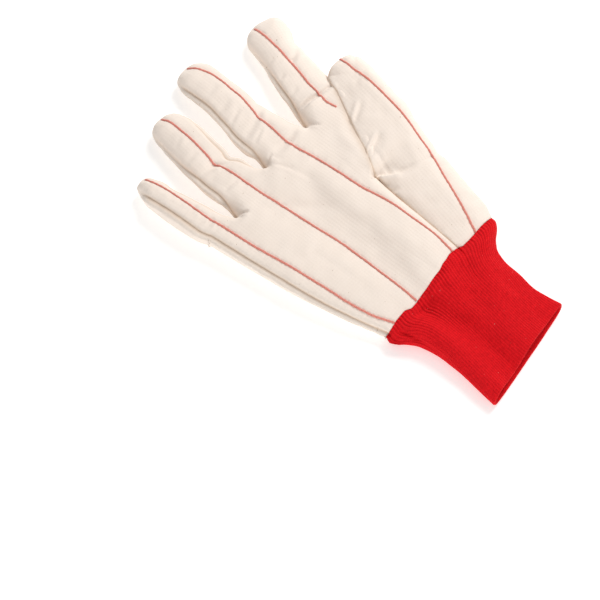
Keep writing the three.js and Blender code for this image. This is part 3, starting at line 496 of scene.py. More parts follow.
@dataclass
class Nearest:
    """For many plan points, the nearest place on a seam and how the cloth is rounded there."""

    distance: np.ndarray
    at: np.ndarray
    out: np.ndarray
    angle: np.ndarray
    spread: np.ndarray
    half: np.ndarray
    mark: np.ndarray
    along: np.ndarray
    inside: np.ndarray

    @property
    def top(self) -> np.ndarray:
        """The seam's height."""
        return self.half * (1 + np.sin(self.angle))

    @property
    def on_thumb(self) -> np.ndarray:
        """Whether the seam is the thumb's, which has the mark 1."""
        return self.mark > 0.5

    @property
    def foot(self) -> np.ndarray:
        """The height from which the palm's cloth rises."""
        return np.where(self.on_thumb, self.half, self.top)

    @property
    def rolled(self) -> np.ndarray:
        """How much of its roll the seam has, less than 1 where it lies flat."""
        return 1 + np.minimum(0, self.mark)


class Outline:
    """A seam as a line of points that carry the seam's angle, reach and half height."""

    SAME_PLACE = 1e-4
    ON_LINE = 0.3
    BLOCK = 4000

    def __init__(self, rows: np.ndarray) -> None:
        """Takes rows of x, y, angle in degrees, spread, half height and mark."""
        rows = np.asarray(rows, float)
        keep = np.r_[True, np.linalg.norm(np.diff(rows[:, :2], axis=0), axis=1) > self.SAME_PLACE]
        self.rows = rows[keep]
        run = np.diff(self.rows[:, :2], axis=0)
        sides = unit(np.c_[-run[:, 1], run[:, 0]])
        self.side = unit(np.r_[sides[:1], sides] + np.r_[sides, sides[-1:]])
        self.length = travelled(self.rows[:, :2])

    @classmethod
    def plain(cls, points: np.ndarray) -> "Outline":
        """A line of points that carry nothing."""
        points = np.asarray(points, float)
        return cls(np.c_[points, np.zeros((len(points), 4))])

    def nearest(self, spots: np.ndarray) -> Nearest:
        """The nearest place on the seam to each plan point."""
        a, b = self.rows[:-1, :2], self.rows[1:, :2]
        run = b - a
        square = (run**2).sum(1)
        distance = np.full(len(spots), np.inf)
        index = np.zeros(len(spots), int)
        share = np.zeros(len(spots))
        for start in range(0, len(spots), self.BLOCK):
            part = slice(start, start + self.BLOCK)
            away = spots[part][:, None, :] - a[None]
            t = np.clip((away * run).sum(2) / square, 0, 1)
            gap = np.linalg.norm(away - t[..., None] * run, axis=2)
            best = gap.argmin(1)
            pick = np.arange(len(best))
            index[part], share[part], distance[part] = best, t[pick, best], gap[pick, best]
        row = mix(self.rows[index], self.rows[index + 1], share[:, None])
        left = unit(mix(self.side[index], self.side[index + 1], share[:, None]))
        toward = row[:, :2] - spots
        inside = (toward * left).sum(1) > -1e-6
        out = np.where((distance > self.ON_LINE)[:, None], unit(toward), left)
        along = mix(self.length[index], self.length[index + 1], share)
        angle = np.radians(row[:, 2])
        spread, half, mark = row[:, 3:].T
        return Nearest(distance, row[:, :2], out, angle, spread, half, mark, along, inside)


def out_and_up(out: np.ndarray, angle: np.ndarray) -> np.ndarray:
    """Directions that point out by the cosine of an angle and up by its sine."""
    return np.c_[out * np.cos(angle)[:, None], np.sin(angle)]


def edge_values(keys: list[float], table: dict[str, list[float]], at: float) -> tuple[float, ...]:
    """A seam's angle, spread and half height, from a table of them."""
    return tuple(float(look_up(keys, table[name], at)) for name in EDGE_KEYS)


def web_edge(share: float) -> tuple[float, ...]:
    """The edge of the web, from 0 at the thumb's crotch to 1 at the index finger."""
    return edge_values(WEB_SHARES, WEB_EDGE, share)


def web_rows(count: int) -> list[tuple]:
    """The web's seam from the index finger to the thumb's crotch."""
    web = PATTERN_LINES["thumb_web"]
    return [(*spline(web, share), *web_edge(share), 0) for share in np.linspace(1, 0, count)]


class Pattern:
    """The glove's flat pattern, its seams and the plan of its panels."""

    def __init__(self) -> None:
        """Works out the seams from the tables."""
        self.edges = [self._finger_edges(strip) for strip in range(len(FINGERS))]
        hand = self._hand_rows()
        self.palm_outline = Outline(np.array([*hand, *self._thumb_seam_rows()]))
        self.back_outline = Outline(np.array(hand))
        side = self.edge(INDEX_STRIP, 1, np.linspace(0.5, 1 / WEB_STEPS, WEB_STEPS // 2))
        self.web_outline = Outline(np.r_[np.c_[side, np.zeros(len(side))], np.array(web_rows(WEB_STEPS + 1))])
        crotches = [PATTERN_LINES[name][-1] for name in STRIP_LINES[1:]]
        self.crotches = np.array([*crotches, PATTERN_LINES["thumb_web"][0]])

    def edge(self, strip: int, side: int, shares: np.ndarray) -> np.ndarray:
        """Rows of x, y, angle, spread and half height up one side of a finger, with its bumps."""
        rows = spline(self.edges[strip][(side + 1) // 2], shares)
        run = np.gradient(rows[:, :2], axis=0)
        out = unit(np.c_[run[:, 1], -run[:, 0]]) * side
        out = out * np.sign(run[:, 1:2] + 1e-9)
        for bump in FINGERS[strip].bumps:
            if bump.side == side:
                rows[:, :2] += out * (bump.out * gauss(rows[:, 1] - bump.y, bump.length))[:, None]
        return rows

    @staticmethod
    def _crotch(name: str) -> tuple[float, ...]:
        """The seam at the finger's end of one of the pattern's lines."""
        if name == "outer":
            shape = [OUTER_EDGE[key][-1] for key in EDGE_KEYS]
        elif name == "thumb_web":
            shape = web_edge(1)
        else:
            shape = CROTCH_EDGE
        return (*PATTERN_LINES[name][-1], *shape)

    def _finger_edges(self, strip: int) -> tuple[np.ndarray, np.ndarray]:
        """Rows of x, y, angle, spread and half height up a finger's two sides."""
        sections = FINGERS[strip].sections
        lines = [*STRIP_LINES, "thumb_web"]
        sides = ([self._crotch(lines[strip])], [self._crotch(lines[strip + 1])])
        for index, section in enumerate(sections):
            before = sections[max(0, index - 1)]
            after = sections[min(len(sections) - 1, index + 1)]
            along = unit(np.array([after.x - before.x, after.y - before.y]))
            across = np.array([along[1], -along[0]])
            spread = min(section.half, FINGER_EDGE_REACH)
            for side, rows, angle in ((-1, sides[0], section.outer_seam), (1, sides[1], section.inner_seam)):
                inset = spread * (1 - math.cos(math.radians(angle)))
                spot = np.array([section.x, section.y]) + across * side * (section.half - inset)
                rows.append((*spot, angle, spread, section.height / 2))
        return np.array(sides[0]), np.array(sides[1])

    @staticmethod
    def _tip_frame(near: np.ndarray, far: np.ndarray) -> tuple[np.ndarray, np.ndarray, np.ndarray]:
        """A tip's middle, half width and forward direction."""
        half = (far[:2] - near[:2]) / 2
        return near[:2] + half, half, unit(np.array([-half[1], half[0]]))

    def _tip_rows(self, strip: int, near: np.ndarray, far: np.ndarray) -> list[tuple]:
        """The seam round a fingertip, between the last rows of the finger's two sides."""
        finger = FINGERS[strip]
        centre, half, forward = self._tip_frame(near, far)
        rows = []
        for turn in np.linspace(math.pi, 0, TIP_POINTS)[1:-1]:
            on_left = math.cos(turn) < 0
            power = finger.squareness[0 if on_left else 1]
            side = powered(math.cos(turn), 2 / power)
            ahead = math.sin(turn) ** (2 / power)
            spot = centre + half * side + forward * finger.tip_length * ahead
            edge = near if on_left else far
            flat = FLAT_SEAM["left" if on_left else "right"][strip]
            angle = mix(edge[2], finger.tip_seam, float(ease(ahead * TIP_ANGLE_RATE)))
            mark = mix(flat, FLAT_SEAM["tip"], float(ease(ahead * TIP_FLAT_RATE)))
            rows.append((*spot, angle, edge[3], edge[4], mark))
        return rows

    def _hand_rows(self) -> list[tuple]:
        """The seam round the hand and its fingers up to the thumb's crotch, with how it is rounded."""
        line = spline(PATTERN_LINES["outer"], np.linspace(0, 1, SEAM_POINTS)[:-1])
        rows = [(x, y, *edge_values(OUTER_Y, OUTER_EDGE, y), 0) for x, y in line]
        up = np.linspace(0, 1, SEAM_POINTS)
        for strip in range(len(FINGERS)):
            near, far = self.edge(strip, -1, up), self.edge(strip, 1, up)
            marks = FLAT_SEAM["left"][strip] * ease((up - LEFT_FLAT_FROM) / LEFT_FLAT_OVER)
            rows += [(*row, mark) for row, mark in zip(near, marks)]
            rows += self._tip_rows(strip, near[-1], far[-1])
            rows += [(*row, FLAT_SEAM["right"][strip]) for row in far[::-1]]
        return rows + web_rows(WEB_POINTS)

    @staticmethod
    def _thumb_seam_rows() -> list[tuple]:
        """The seam between palm and thumb, from the thumb's crotch to the wrist."""
        angle, web_spread, half = web_edge(0)
        web_top = half * (1 + math.sin(math.radians(angle)))
        rows = []
        for share in np.linspace(1, 0, SEAM_POINTS)[1:]:
            blend = float(ease((1 - share) / THUMB_GROOVE["blend_over"]))
            rise = float(ease(share / THUMB_GROOVE["rise_over"]))
            groove = mix(THUMB_GROOVE["wrist_height"], THUMB_GROOVE["height"], rise)
            spread = mix(web_spread, THUMB_GROOVE["spread"], blend)
            spot = spline(PATTERN_LINES["thumb_seam"], share)
            rows.append((*spot, 0, spread, mix(web_top, groove, blend), 1))
        return rows

    def line(self, strip: int, side: int, shares: np.ndarray) -> np.ndarray:
        """Points up one side of a strip between the wrist and the crotches."""
        index = strip + side
        if index < len(STRIP_LINES):
            return spline(PATTERN_LINES[STRIP_LINES[index]], shares)
        seam = spline(PATTERN_LINES["thumb_seam"], shares / THUMB_CROTCH_SHARE)
        web = spline(PATTERN_LINES["thumb_web"], (shares - THUMB_CROTCH_SHARE) / (1 - THUMB_CROTCH_SHARE))
        return np.where((shares <= THUMB_CROTCH_SHARE)[:, None], seam, web)

    def strip(self, strip: int, across: np.ndarray, palm_steps: int, finger_steps: int,
              tip_steps: int) -> np.ndarray:
        """The plan of one finger's strip from the wrist to the fingertip.

        Args:
            strip: Which finger, from 0 at the little finger.
            across: Places across the strip, from 0 to 1.
            palm_steps: Steps between the wrist and the crotches.
            finger_steps: Steps along the finger.
            tip_steps: Steps round its tip.

        Returns:
            Plan points in rows along the strip.
        """
        shares = np.linspace(0, 1, palm_steps + 1)
        near, far = self.line(strip, 0, shares), self.line(strip, 1, shares)
        up = np.linspace(0, 1, finger_steps + 1)[1:]
        near = np.r_[near, self.edge(strip, -1, up)[:, :2]]
        far = np.r_[far, self.edge(strip, 1, up)[:, :2]]
        rows = near[:, None] + (far - near)[:, None] * across[None, :, None]
        centre, half, forward = self._tip_frame(near[-1], far[-1])
        steps = np.sin(np.linspace(0, math.pi / 2, tip_steps + 1))[1:, None]
        u = np.broadcast_to(2 * across - 1, (tip_steps, len(across)))
        power = np.where(u < 0, *FINGERS[strip].squareness)
        pull = np.maximum(abs(u), steps) / (abs(u) ** power + steps**power) ** (1 / power)
        ahead = FINGERS[strip].tip_length * steps * pull
        tip = centre + half * (u * pull)[..., None] + forward * ahead[..., None]
        return np.r_[rows, tip]

    def clear_of_crotch(self, spots: np.ndarray) -> np.ndarray:
        """Opens from 0 at a crotch to 1 where the fingers stand clear of each other."""
        gap = np.linalg.norm(spots[:, None] - self.crotches[None], axis=2).min(1)
        return ease(gap / CROTCH_REACH)


def line_points(points: list[tuple[float, float]], step: float) -> np.ndarray:
    """A smooth line through plan points, with points about a step apart."""
    rough = spline(np.array(points), np.linspace(0, 1, ROUGH_POINTS * len(points)))
    length = travelled(rough)
    at = np.linspace(0, length[-1], max(2, int(length[-1] / step)))
    return np.c_[np.interp(at, length, rough[:, 0]), np.interp(at, length, rough[:, 1])]


def line_distance(spots: np.ndarray, points: list[tuple[float, float]]) -> tuple[np.ndarray, np.ndarray]:
    """How far each plan point is from a line, and how far along the line it is."""
    found = Outline.plain(line_points(points, LINE_STEP)).nearest(spots)
    return found.distance, found.along


PATTERN = Pattern()


# Surfaces of the cloth

# Far enough from a seam to be past all that it draws in, and how high cloth on the table stays above it.
CLEAR = 50.0
LYING = 0.02
PALM_LUMPS = (Lumps(0.3, 26, 5, 1.6), Lumps(0.1, 9, 6, 1.4))
BACK_HOLLOWS = (Lumps(0.55, 17, 33, 1.8), Lumps(0.35, 7, 34))
GROOVE_LUMPS = Lumps(0.25, 5, 31)
THUMB_LUMPS = (Lumps(0.2, 22, 71, 1.4), Lumps(0.07, 8, 72))
THUMB_HOLLOWS = (Lumps(0.5, 17, 91), Lumps(0.3, 7, 92))
QUILT_SEEDS = {"palm": 40, "thumb": 60}
PUCKER_SEEDS = {"palm": 11, "back": 23, "thumb": 81}


def raised(lumps: tuple[Lumps, ...], x: np.ndarray, y: np.ndarray) -> np.ndarray:
    """Several sizes of lumps together."""
    return sum(one.at(x, y) for one in lumps)


def hollowed(lumps: tuple[Lumps, ...], x: np.ndarray, y: np.ndarray) -> np.ndarray:
    """Several sizes of lumps together, each without its lower half."""
    return sum(np.maximum(0, one.at(x, y)) for one in lumps)


@dataclass(frozen=True)
class Sewing:
    """How a seam draws the cloth in, and how the cloth rolls out beside it, in mm.

    The puckers are given as height and length, and where the second crease ends as a place and a fade.
    """

    held: float = 0.9
    tuck: float = 0.6
    tuck_width: float = 0.7
    crotch_share: float = 0.35
    edge_roll: float = 0.35
    edge_roll_at: float = 2.4
    edge_roll_width: float = 1.7
    back_roll: float = 1.5
    back_roll_at: float = 2.6
    back_roll_width: float = 1.9
    back_roll_lumps: Lumps = Lumps(0.12, 13, 17)
    second_crease: float = 0.5
    second_crease_at: float = 2.3
    second_crease_width: float = 0.5
    second_crease_side: tuple[float, float] = (-38, 4)
    second_crease_top: tuple[float, float] = (30, 14)
    second_crease_foot: tuple[float, float] = (-56, 10)
    pucker: float = 0.16
    pucker_reach: float = 4.5
    straight_puckers: tuple[float, float] = (0.6, 3.4)
    slanted_puckers: tuple[float, float] = (0.5, 6.5)
    groove: float = 1.5
    groove_width: float = 1.7

    def beyond(self, distance: np.ndarray) -> np.ndarray:
        """Nothing at the seam itself, so that both sides meet there, and 1 past it."""
        return 1 - gauss(distance, self.held)

    def tucked(self, distance: np.ndarray) -> np.ndarray:
        """How far the cloth is drawn in at the seam."""
        return self.tuck * gauss(distance, self.tuck_width)

    def grooved(self, distance: np.ndarray) -> np.ndarray:
        """How deep the groove between two strips of the back is."""
        return self.groove * gauss(distance, self.groove_width)

    def drawn(self, edge: Nearest) -> np.ndarray:
        """How much the seam draws the cloth in: less in the crotches and where it lies flat."""
        return mix(self.crotch_share, 1.0, PATTERN.clear_of_crotch(edge.at)) * edge.rolled

    def puckers(self, along: np.ndarray, distance: np.ndarray, seed: int) -> np.ndarray:
        """Small gathers that run away from a seam and fade."""
        straight = Lumps(*self.straight_puckers, seed).at(along)
        slanted = Lumps(*self.slanted_puckers, seed + 1).at(along, distance)
        fade = np.exp(-distance / self.pucker_reach) * self.beyond(distance)
        return self.pucker * (straight + slanted) * fade

    def palm_side(self, edge: Nearest) -> np.ndarray:
        """How far the palm's cloth is drawn in near a seam."""
        roll = self.edge_roll * gauss(edge.distance - self.edge_roll_at, self.edge_roll_width)
        return self.tucked(edge.distance) - roll * self.beyond(edge.distance)

    def back_side(self, run: np.ndarray, along: np.ndarray) -> np.ndarray:
        """How far the back's cloth is drawn in, by the distance from the seam over the roll."""
        uneven = 1 + self.back_roll_lumps.at(along)
        roll = self.back_roll * uneven * gauss(run - self.back_roll_at, self.back_roll_width)
        return self.tucked(run) - roll * self.beyond(run)

    def outer_crease(self, run: np.ndarray, at: np.ndarray) -> np.ndarray:
        """A second fine crease in the roll, along the outer side of the hand only."""
        side, side_fade = self.second_crease_side
        top, top_fade = self.second_crease_top
        foot, foot_fade = self.second_crease_foot
        x, y = at.T
        outer = ease((side - x) / side_fade) * ease((top - y) / top_fade) * ease((y - foot) / foot_fade)
        return self.second_crease * outer * gauss(run - self.second_crease_at, self.second_crease_width)


SEWING = Sewing()


@dataclass(frozen=True)
class Quilting:
    """How a quilting line draws the doubled cloth down, in mm, with uneven places as height and length."""

    depth: float = 0.5
    width: float = 1.4
    soft_depth: float = 0.45
    soft_width: float = 4.5
    uneven: tuple[float, float] = (0.3, 7.0)
    pucker: tuple[float, float] = (0.10, 3.2)
    pucker_slant: float = 0.4
    pucker_width: float = 4.0

    def press(self, spots: np.ndarray, line: list[tuple[float, float]], seed: int) -> np.ndarray:
        """How far the line presses the cloth down at each plan point."""
        distance, along = line_distance(spots, line)
        uneven = 1 + Lumps(*self.uneven, seed).at(along)
        pucker = Lumps(*self.pucker, seed + 3).at(along, distance * self.pucker_slant)
        sharp = uneven * self.depth * gauss(distance, self.width)
        soft = self.soft_depth * gauss(distance, self.soft_width)
        return sharp + soft + pucker * gauss(distance, self.pucker_width)


QUILTING = Quilting()


@dataclass(frozen=True)
class PalmForm:
    """How the palm's height runs from its seams to its crown and on to the fingers."""

    onto_finger: float = 16
    least_rise: float = 1
    least_reach: float = 8
    least_fall: float = 0.3
    quilt_rise: float = 1.6
    thumb_bulge: float = 0.25
    thumb_bulge_width: float = 1.0


PALM_FORM = PalmForm()


def wrist_bow(x: np.ndarray) -> np.ndarray:
    """How far the wrist seam bows toward the fingers."""
    table = np.array(WRIST_BOW)
    return look_up(table[:, 0], table[:, 1], x)


def bowed(points: np.ndarray) -> np.ndarray:
    """Points with the wrist seam's bow, which fades up the hand, and drawn down into that seam."""
    up = points[:, 1] - WRIST_Y
    bow = wrist_bow(points[:, 0]) * (1 - ease(up / WRIST_BOW_FADE["hand"]))
    least = WRIST_TUCK["from_height"]
    standing = np.clip((points[:, 2] - least) / least, 0, 1)
    tuck = WRIST_TUCK["depth"] * gauss(up, WRIST_TUCK["width"]) * standing
    return points + np.c_[np.zeros(len(points)), bow, -tuck]


def palm_crown(place: np.ndarray, y: np.ndarray) -> np.ndarray:
    """Height of the palm at a place across, counted in fingers from the little finger's middle."""
    columns = np.array([look_up(PALM_Y, PALM_CROWNS[finger.name], y) for finger in FINGERS])
    low = np.clip(np.floor(place), 0, INDEX_STRIP).astype(int)
    high = np.minimum(low + 1, INDEX_STRIP)
    share = ease(np.clip(place - low, 0, 1))
    pick = np.arange(len(y))
    return mix(columns[low, pick], columns[high, pick], share)


def palm_height(strip: int, across: np.ndarray, spots: np.ndarray, past: np.ndarray, edge: Nearest,
                rise: np.ndarray) -> np.ndarray:
    """Height of the palm's cloth before its seams draw it in.

    Args:
        strip: Which finger's strip.
        across: Where each point is across the strip, from 0 to 1.
        spots: Plan points, in mm.
        past: How far each point is past the crotches, in mm.
        edge: The nearest place on the seam.
        rise: How far each point has risen from the seam to the crown, from 0 to 1.

    Returns:
        A height for each point, in mm.
    """
    form = PALM_FORM
    finger = FINGERS[strip]
    x, y = spots.T
    palm = palm_crown(np.clip(strip + across - 0.5, 0, INDEX_STRIP), y)
    section_y = [PALM_Y[-1], *[section.y for section in finger.sections]]
    section_height = [PALM_CROWNS[finger.name][-1], *[section.height for section in finger.sections]]
    own = look_up(section_y, section_height, y)
    least = edge.foot + form.least_rise - form.least_fall * np.maximum(0, edge.distance - form.least_reach)
    crown = np.maximum(least, mix(palm, own, ease(past / form.onto_finger)))
    dent = sum(fold.press(x, y) for fold in HAND_FOLDS) - sum(swell.lift(x, y) for swell in PALM_SWELLS)
    lines = enumerate(QUILT_LINES.values(), QUILT_SEEDS["palm"])
    quilt = sum(QUILTING.press(spots, line, seed) for seed, line in lines)
    height = mix(edge.foot, crown, rise) + (raised(PALM_LUMPS, x, y) - dent) * rise
    return height - quilt * np.minimum(1, rise * form.quilt_rise)


def front_surface(strip: int, across: np.ndarray, spots: np.ndarray, past: np.ndarray) -> np.ndarray:
    """The palm side's outer surface.

    Args:
        strip: Which finger's strip.
        across: Where each point is across the strip, from 0 to 1.
        spots: Plan points, in mm.
        past: How far each point is past the crotches, in mm.

    Returns:
        Points in mm.
    """
    edge = PATTERN.palm_outline.nearest(spots)
    share = np.clip(edge.distance / edge.spread / np.cos(edge.angle), 0, 1)
    turn = np.arccos(np.cos(edge.angle) * (1 - share))
    rise = (np.sin(turn) - np.sin(edge.angle)) / (1 - np.sin(edge.angle))
    point = np.c_[spots, palm_height(strip, across, spots, past, edge, rise)]
    bulge = PALM_FORM.thumb_bulge * gauss(edge.distance, PALM_FORM.thumb_bulge_width)
    tuck = np.where(edge.on_thumb, -bulge, SEWING.palm_side(edge) * SEWING.drawn(edge))
    tuck = tuck - SEWING.puckers(edge.along, edge.distance, PUCKER_SEEDS["palm"])
    return bowed(point - out_and_up(edge.out, turn) * tuck[:, None])


@dataclass(frozen=True)
class BackForm:
    """How the back's cloth lies: its angle in the crotches in degrees, and sizes in mm."""

    crotch_angle: float = 4
    lying_below: float = 3
    groove_reach: float = 4


BACK_FORM = BackForm()


def back_surface(spots: np.ndarray, groove: np.ndarray) -> np.ndarray:
    """The back's outer surface: flat where it lies, rolled up to the seam and drawn in at the strips' seams.

    Args:
        spots: Plan points, in mm.
        groove: How far each point is from the seam beside its strip, in mm.

    Returns:
        Points in mm.
    """
    edge = PATTERN.back_outline.nearest(spots)
    opened = PATTERN.clear_of_crotch(edge.at)
    start = mix(np.minimum(edge.angle, math.radians(BACK_FORM.crotch_angle)), edge.angle, opened)
    reach = edge.spread * np.cos(start)
    share = np.clip(edge.distance / reach, 0, 1)
    turn = mix(start, -math.pi / 2, share)
    scale = edge.top / (1 + np.sin(start))
    rolled = edge.at + edge.out * (edge.spread * (np.cos(turn) - np.cos(start)))[:, None]
    flat = edge.distance >= reach
    point = np.c_[np.where(flat[:, None], spots, rolled), np.where(flat, 0, scale * (1 + np.sin(turn)))]
    run = (start - turn) * (scale + edge.spread) / 2
    tuck = SEWING.back_side(run, edge.along) * SEWING.drawn(edge)
    tuck = tuck - SEWING.puckers(edge.along, run, PUCKER_SEEDS["back"]) + SEWING.outer_crease(run, edge.at)
    point = point - out_and_up(edge.out, turn) * (tuck * (1 - share))[:, None]
    x, y = spots.T
    lying = 1 - np.clip(point[:, 2] / BACK_FORM.lying_below, 0, 1)
    beside = gauss(groove, BACK_FORM.groove_reach)
    grooved = np.maximum(0, SEWING.grooved(groove) + GROOVE_LUMPS.at(y, groove) * beside)
    hollow = hollowed(BACK_HOLLOWS, x, y) * ease(groove / BACK_FORM.groove_reach)
    point[:, 2] = np.maximum(LYING, point[:, 2] + lying * (grooved + hollow))
    return bowed(point)


def hand_height(spots: np.ndarray) -> np.ndarray:
    """How high the thumb has to lie to clear the hand beneath it."""
    rest = THUMB_REST
    edge = PATTERN.web_outline.nearest(spots)
    into = np.where(edge.inside, edge.distance, -edge.distance)
    beneath = np.where(edge.inside[:, None], spots, edge.at)
    past = np.maximum(0, beneath[:, 1] - WEB_END_Y)
    over = front_surface(INDEX_STRIP, np.ones(len(spots)), beneath, past)[:, 2] + rest["clearance"]
    over = over * ease((into + rest["wrap"]) / (rest["wrap"] - rest["clearance"]))
    return np.where(spots[:, 1] < THUMB_CROTCH_Y - rest["starts_below_crotch"], 0, over)


@dataclass(frozen=True)
class ThumbForm:
    """How the thumb's cloth is rounded between its seams, in mm, powers and shares."""

    half_width: float = 18
    opens_over: float = 0.09
    near_drop: float = 4
    belly_round: float = 0.04
    belly_straight: float = 0.66
    belly_sine: float = 0.3
    crease_width: float = 3
    rounder_from: float = 55
    rounder_over: float = 14
    front_closing: float = 2.4
    shaped_rise: float = 4
    quilt_rise: float = 1.5
    joined_tuck: float = 0.3
    near_tuck: float = 0.35
    pucker: float = 0.8
    lift: float = 0.3
    lift_width: float = 1.3
    back_power: float = 2.6
    back_hidden_to: float = 0.9
    back_sunk_to: float = 0.5
    back_sunk_width: float = 2.2
    cover_over: float = 1.5
    back_roll: float = 0.6
    back_roll_at: float = 2.4
    back_roll_width: float = 2.0


THUMB_FORM = ThumbForm()


@dataclass
class ThumbGrid:
    """Plan and heights of the thumb over a grid."""

    across: np.ndarray
    along: np.ndarray
    tip: np.ndarray
    spots: np.ndarray
    chord: np.ndarray
    section: dict[str, np.ndarray]
    full: np.ndarray
    side: np.ndarray
    opened: np.ndarray

    @property
    def edge(self) -> np.ndarray:
        """About how far each point is from the thumb's seam, in mm."""
        return (1 - self.full) * THUMB_FORM.half_width

    @property
    def joined(self) -> np.ndarray:
        """Where the thumb's near side is sewn to the palm."""
        return (self.across < 0) & (self.along <= THUMB_OPEN)

    def points(self, height: np.ndarray, drawn_in: np.ndarray) -> np.ndarray:
        """Points at these heights, drawn in from the thumb's seam."""
        point = np.c_[self.spots, height]
        point[:, :2] -= self.side * drawn_in[:, None]
        return bowed(point)


def thumb_chord(near: np.ndarray, spots: np.ndarray, u: np.ndarray, ahead: np.ndarray, along: np.ndarray,
                section: dict[str, np.ndarray], opened: np.ndarray) -> np.ndarray:
    """Height of the line across the thumb from its near edge to its far seam.

    Args:
        near: The near edge's plan points.
        spots: The grid's plan points.
        u: Places across, from -1 to 1, as they close at the tip.
        ahead: How far each point is over the tip, from 0 to 1.
        along: Places along the thumb, from 0 to 1.
        section: The thumb's table at each point.
        opened: From 0 at the crotch to 1 where the thumb stands clear.

    Returns:
        A height for each point, in mm.
    """
    sunk = THUMB_REST["front_sunk"]
    lying = np.maximum(section["near_z"], hand_height(near) - sunk)
    near_z = np.where(along <= THUMB_OPEN, PATTERN.palm_outline.nearest(near).foot, lying)
    peak = section["skew"]
    past_peak = np.clip((u - peak) / (1 - peak), 0, 1)
    falling = mix((u + 1) / 2, past_peak, opened)
    chord = mix(near_z, section["far_z"], falling) - THUMB_FORM.near_drop * ahead * (1 - u) / 2
    return np.maximum(chord, opened * (hand_height(spots) - sunk))


def thumb_grid(columns: np.ndarray, steps: int, tip_steps: int) -> ThumbGrid:
    """The thumb's plan.

    Args:
        columns: Places across, from -1 at the near seam to 1 at the far seam.
        steps: Steps along the thumb up to its tip.
        tip_steps: Steps round its tip.

    Returns:
        The grid, with one entry for each point, row by row.
    """
    along = np.r_[np.linspace(0, 1, steps + 1), np.ones(tip_steps)]
    tip = np.r_[np.zeros(steps + 1), np.sin(np.linspace(0, math.pi / 2, tip_steps + 1))[1:]]
    count = len(columns)
    across = np.tile(columns, len(along))
    along, tip = np.repeat(along, count), np.repeat(tip, count)
    values = spline(np.array(THUMB), along)
    section = {name: values[:, i] for i, name in enumerate(THUMB_COLUMNS)}
    seam = spline(PATTERN_LINES["thumb_seam"], along / THUMB_OPEN)
    near = np.where((along <= THUMB_OPEN)[:, None], seam, values[:, 0:2])
    side = np.array(THUMB_SIDE)
    far_y = section["far_y"]
    half = (np.c_[np.interp(far_y, side[:, 0], side[:, 1]), far_y] - near) / 2
    aside = unit(half)
    forward = np.c_[-aside[:, 1], aside[:, 0]]
    power = np.where(across < 0, THUMB_TIP["near_squareness"], THUMB_TIP["far_squareness"])
    full = np.maximum(abs(across), tip)
    pull = np.where(tip > 0, full / np.maximum(abs(across) ** power + tip**power, 1e-9) ** (1 / power), 1)
    u, ahead = across * pull, tip * pull
    spots = near + half + half * u[:, None] + forward * (ahead * THUMB_TIP["length"])[:, None]
    opened = ease((along - THUMB_OPEN) / THUMB_FORM.opens_over)
    chord = thumb_chord(near, spots, u, ahead, along, section, opened)
    onward = forward * (ahead * np.linalg.norm(half, axis=1))[:, None]
    way = unit(aside * (u * THUMB_TIP["length"])[:, None] + onward)
    way = np.where((tip > 0)[:, None], way, aside * np.sign(u)[:, None])
    return ThumbGrid(across, along, tip, spots, chord, section, full, way, opened)


def thumb_rise(grid: ThumbGrid) -> np.ndarray:
    """How far the thumb's front has risen from its edges to its crown, from 0 to 1."""
    form = THUMB_FORM
    x, y = grid.spots.T
    peak = grid.section["skew"]
    u = grid.across
    side = np.clip(np.where(u < peak, (u + 1) / (peak + 1), (1 - u) / (1 - peak)), 0, 1)
    rounded = np.sqrt(1 - (1 - side) ** 2)
    slope = form.belly_straight * side + form.belly_sine * np.sin(side * math.pi / 2)
    base = 0.5 * rounded + 0.5 * (1 - (1 - side) ** 2)
    belly = mix(form.belly_round * rounded + slope, base, grid.opened)
    crease = np.array(BELLY_CREASE)
    above = ease((y - np.interp(x, crease[:, 0], crease[:, 1])) / form.crease_width + 0.5)
    leaning = mix(mix(base, belly, above), rounded, ease((y - form.rounder_from) / form.rounder_over))
    closing = np.sqrt(np.maximum(0, 1 - grid.tip**form.front_closing))
    return np.where(u < peak, leaning, rounded) * closing


def thumb_front_surface(grid: ThumbGrid) -> np.ndarray:
    """The outer surface of the thumb's front."""
    form = THUMB_FORM
    x, y = grid.spots.T
    u, edge = grid.across, grid.edge
    rise = thumb_rise(grid)
    dent = sum(fold.press(x, y) for fold in THUMB_FOLDS) - sum(swell.lift(x, y) for swell in THUMB_SWELLS)
    quilt = QUILTING.press(grid.spots, THUMB_LINE, QUILT_SEEDS["thumb"])
    shaped = np.minimum(1, rise * form.shaped_rise)
    height = mix(grid.chord, grid.section["crown"], rise) + (raised(THUMB_LUMPS, x, y) - dent) * shaped
    height = height - quilt * np.minimum(1, rise * form.quilt_rise)
    tuck = SEWING.tucked(edge)
    height = height - np.where(grid.joined, form.joined_tuck * tuck, 0)
    height = height + SEWING.puckers(y, edge, PUCKER_SEEDS["thumb"]) * form.pucker
    pressed = (THUMB_REST["front_sunk"] + form.lift) * gauss(edge, form.lift_width)
    lain = hand_height(grid.spots) + form.lift - pressed
    height = np.where(u < 0, np.maximum(height, grid.opened * lain), height)
    roll = SEWING.edge_roll * gauss(edge - SEWING.edge_roll_at, SEWING.edge_roll_width)
    return grid.points(height, np.where(grid.joined, 0, tuck * np.where(u < 0, form.near_tuck, 1) - roll))


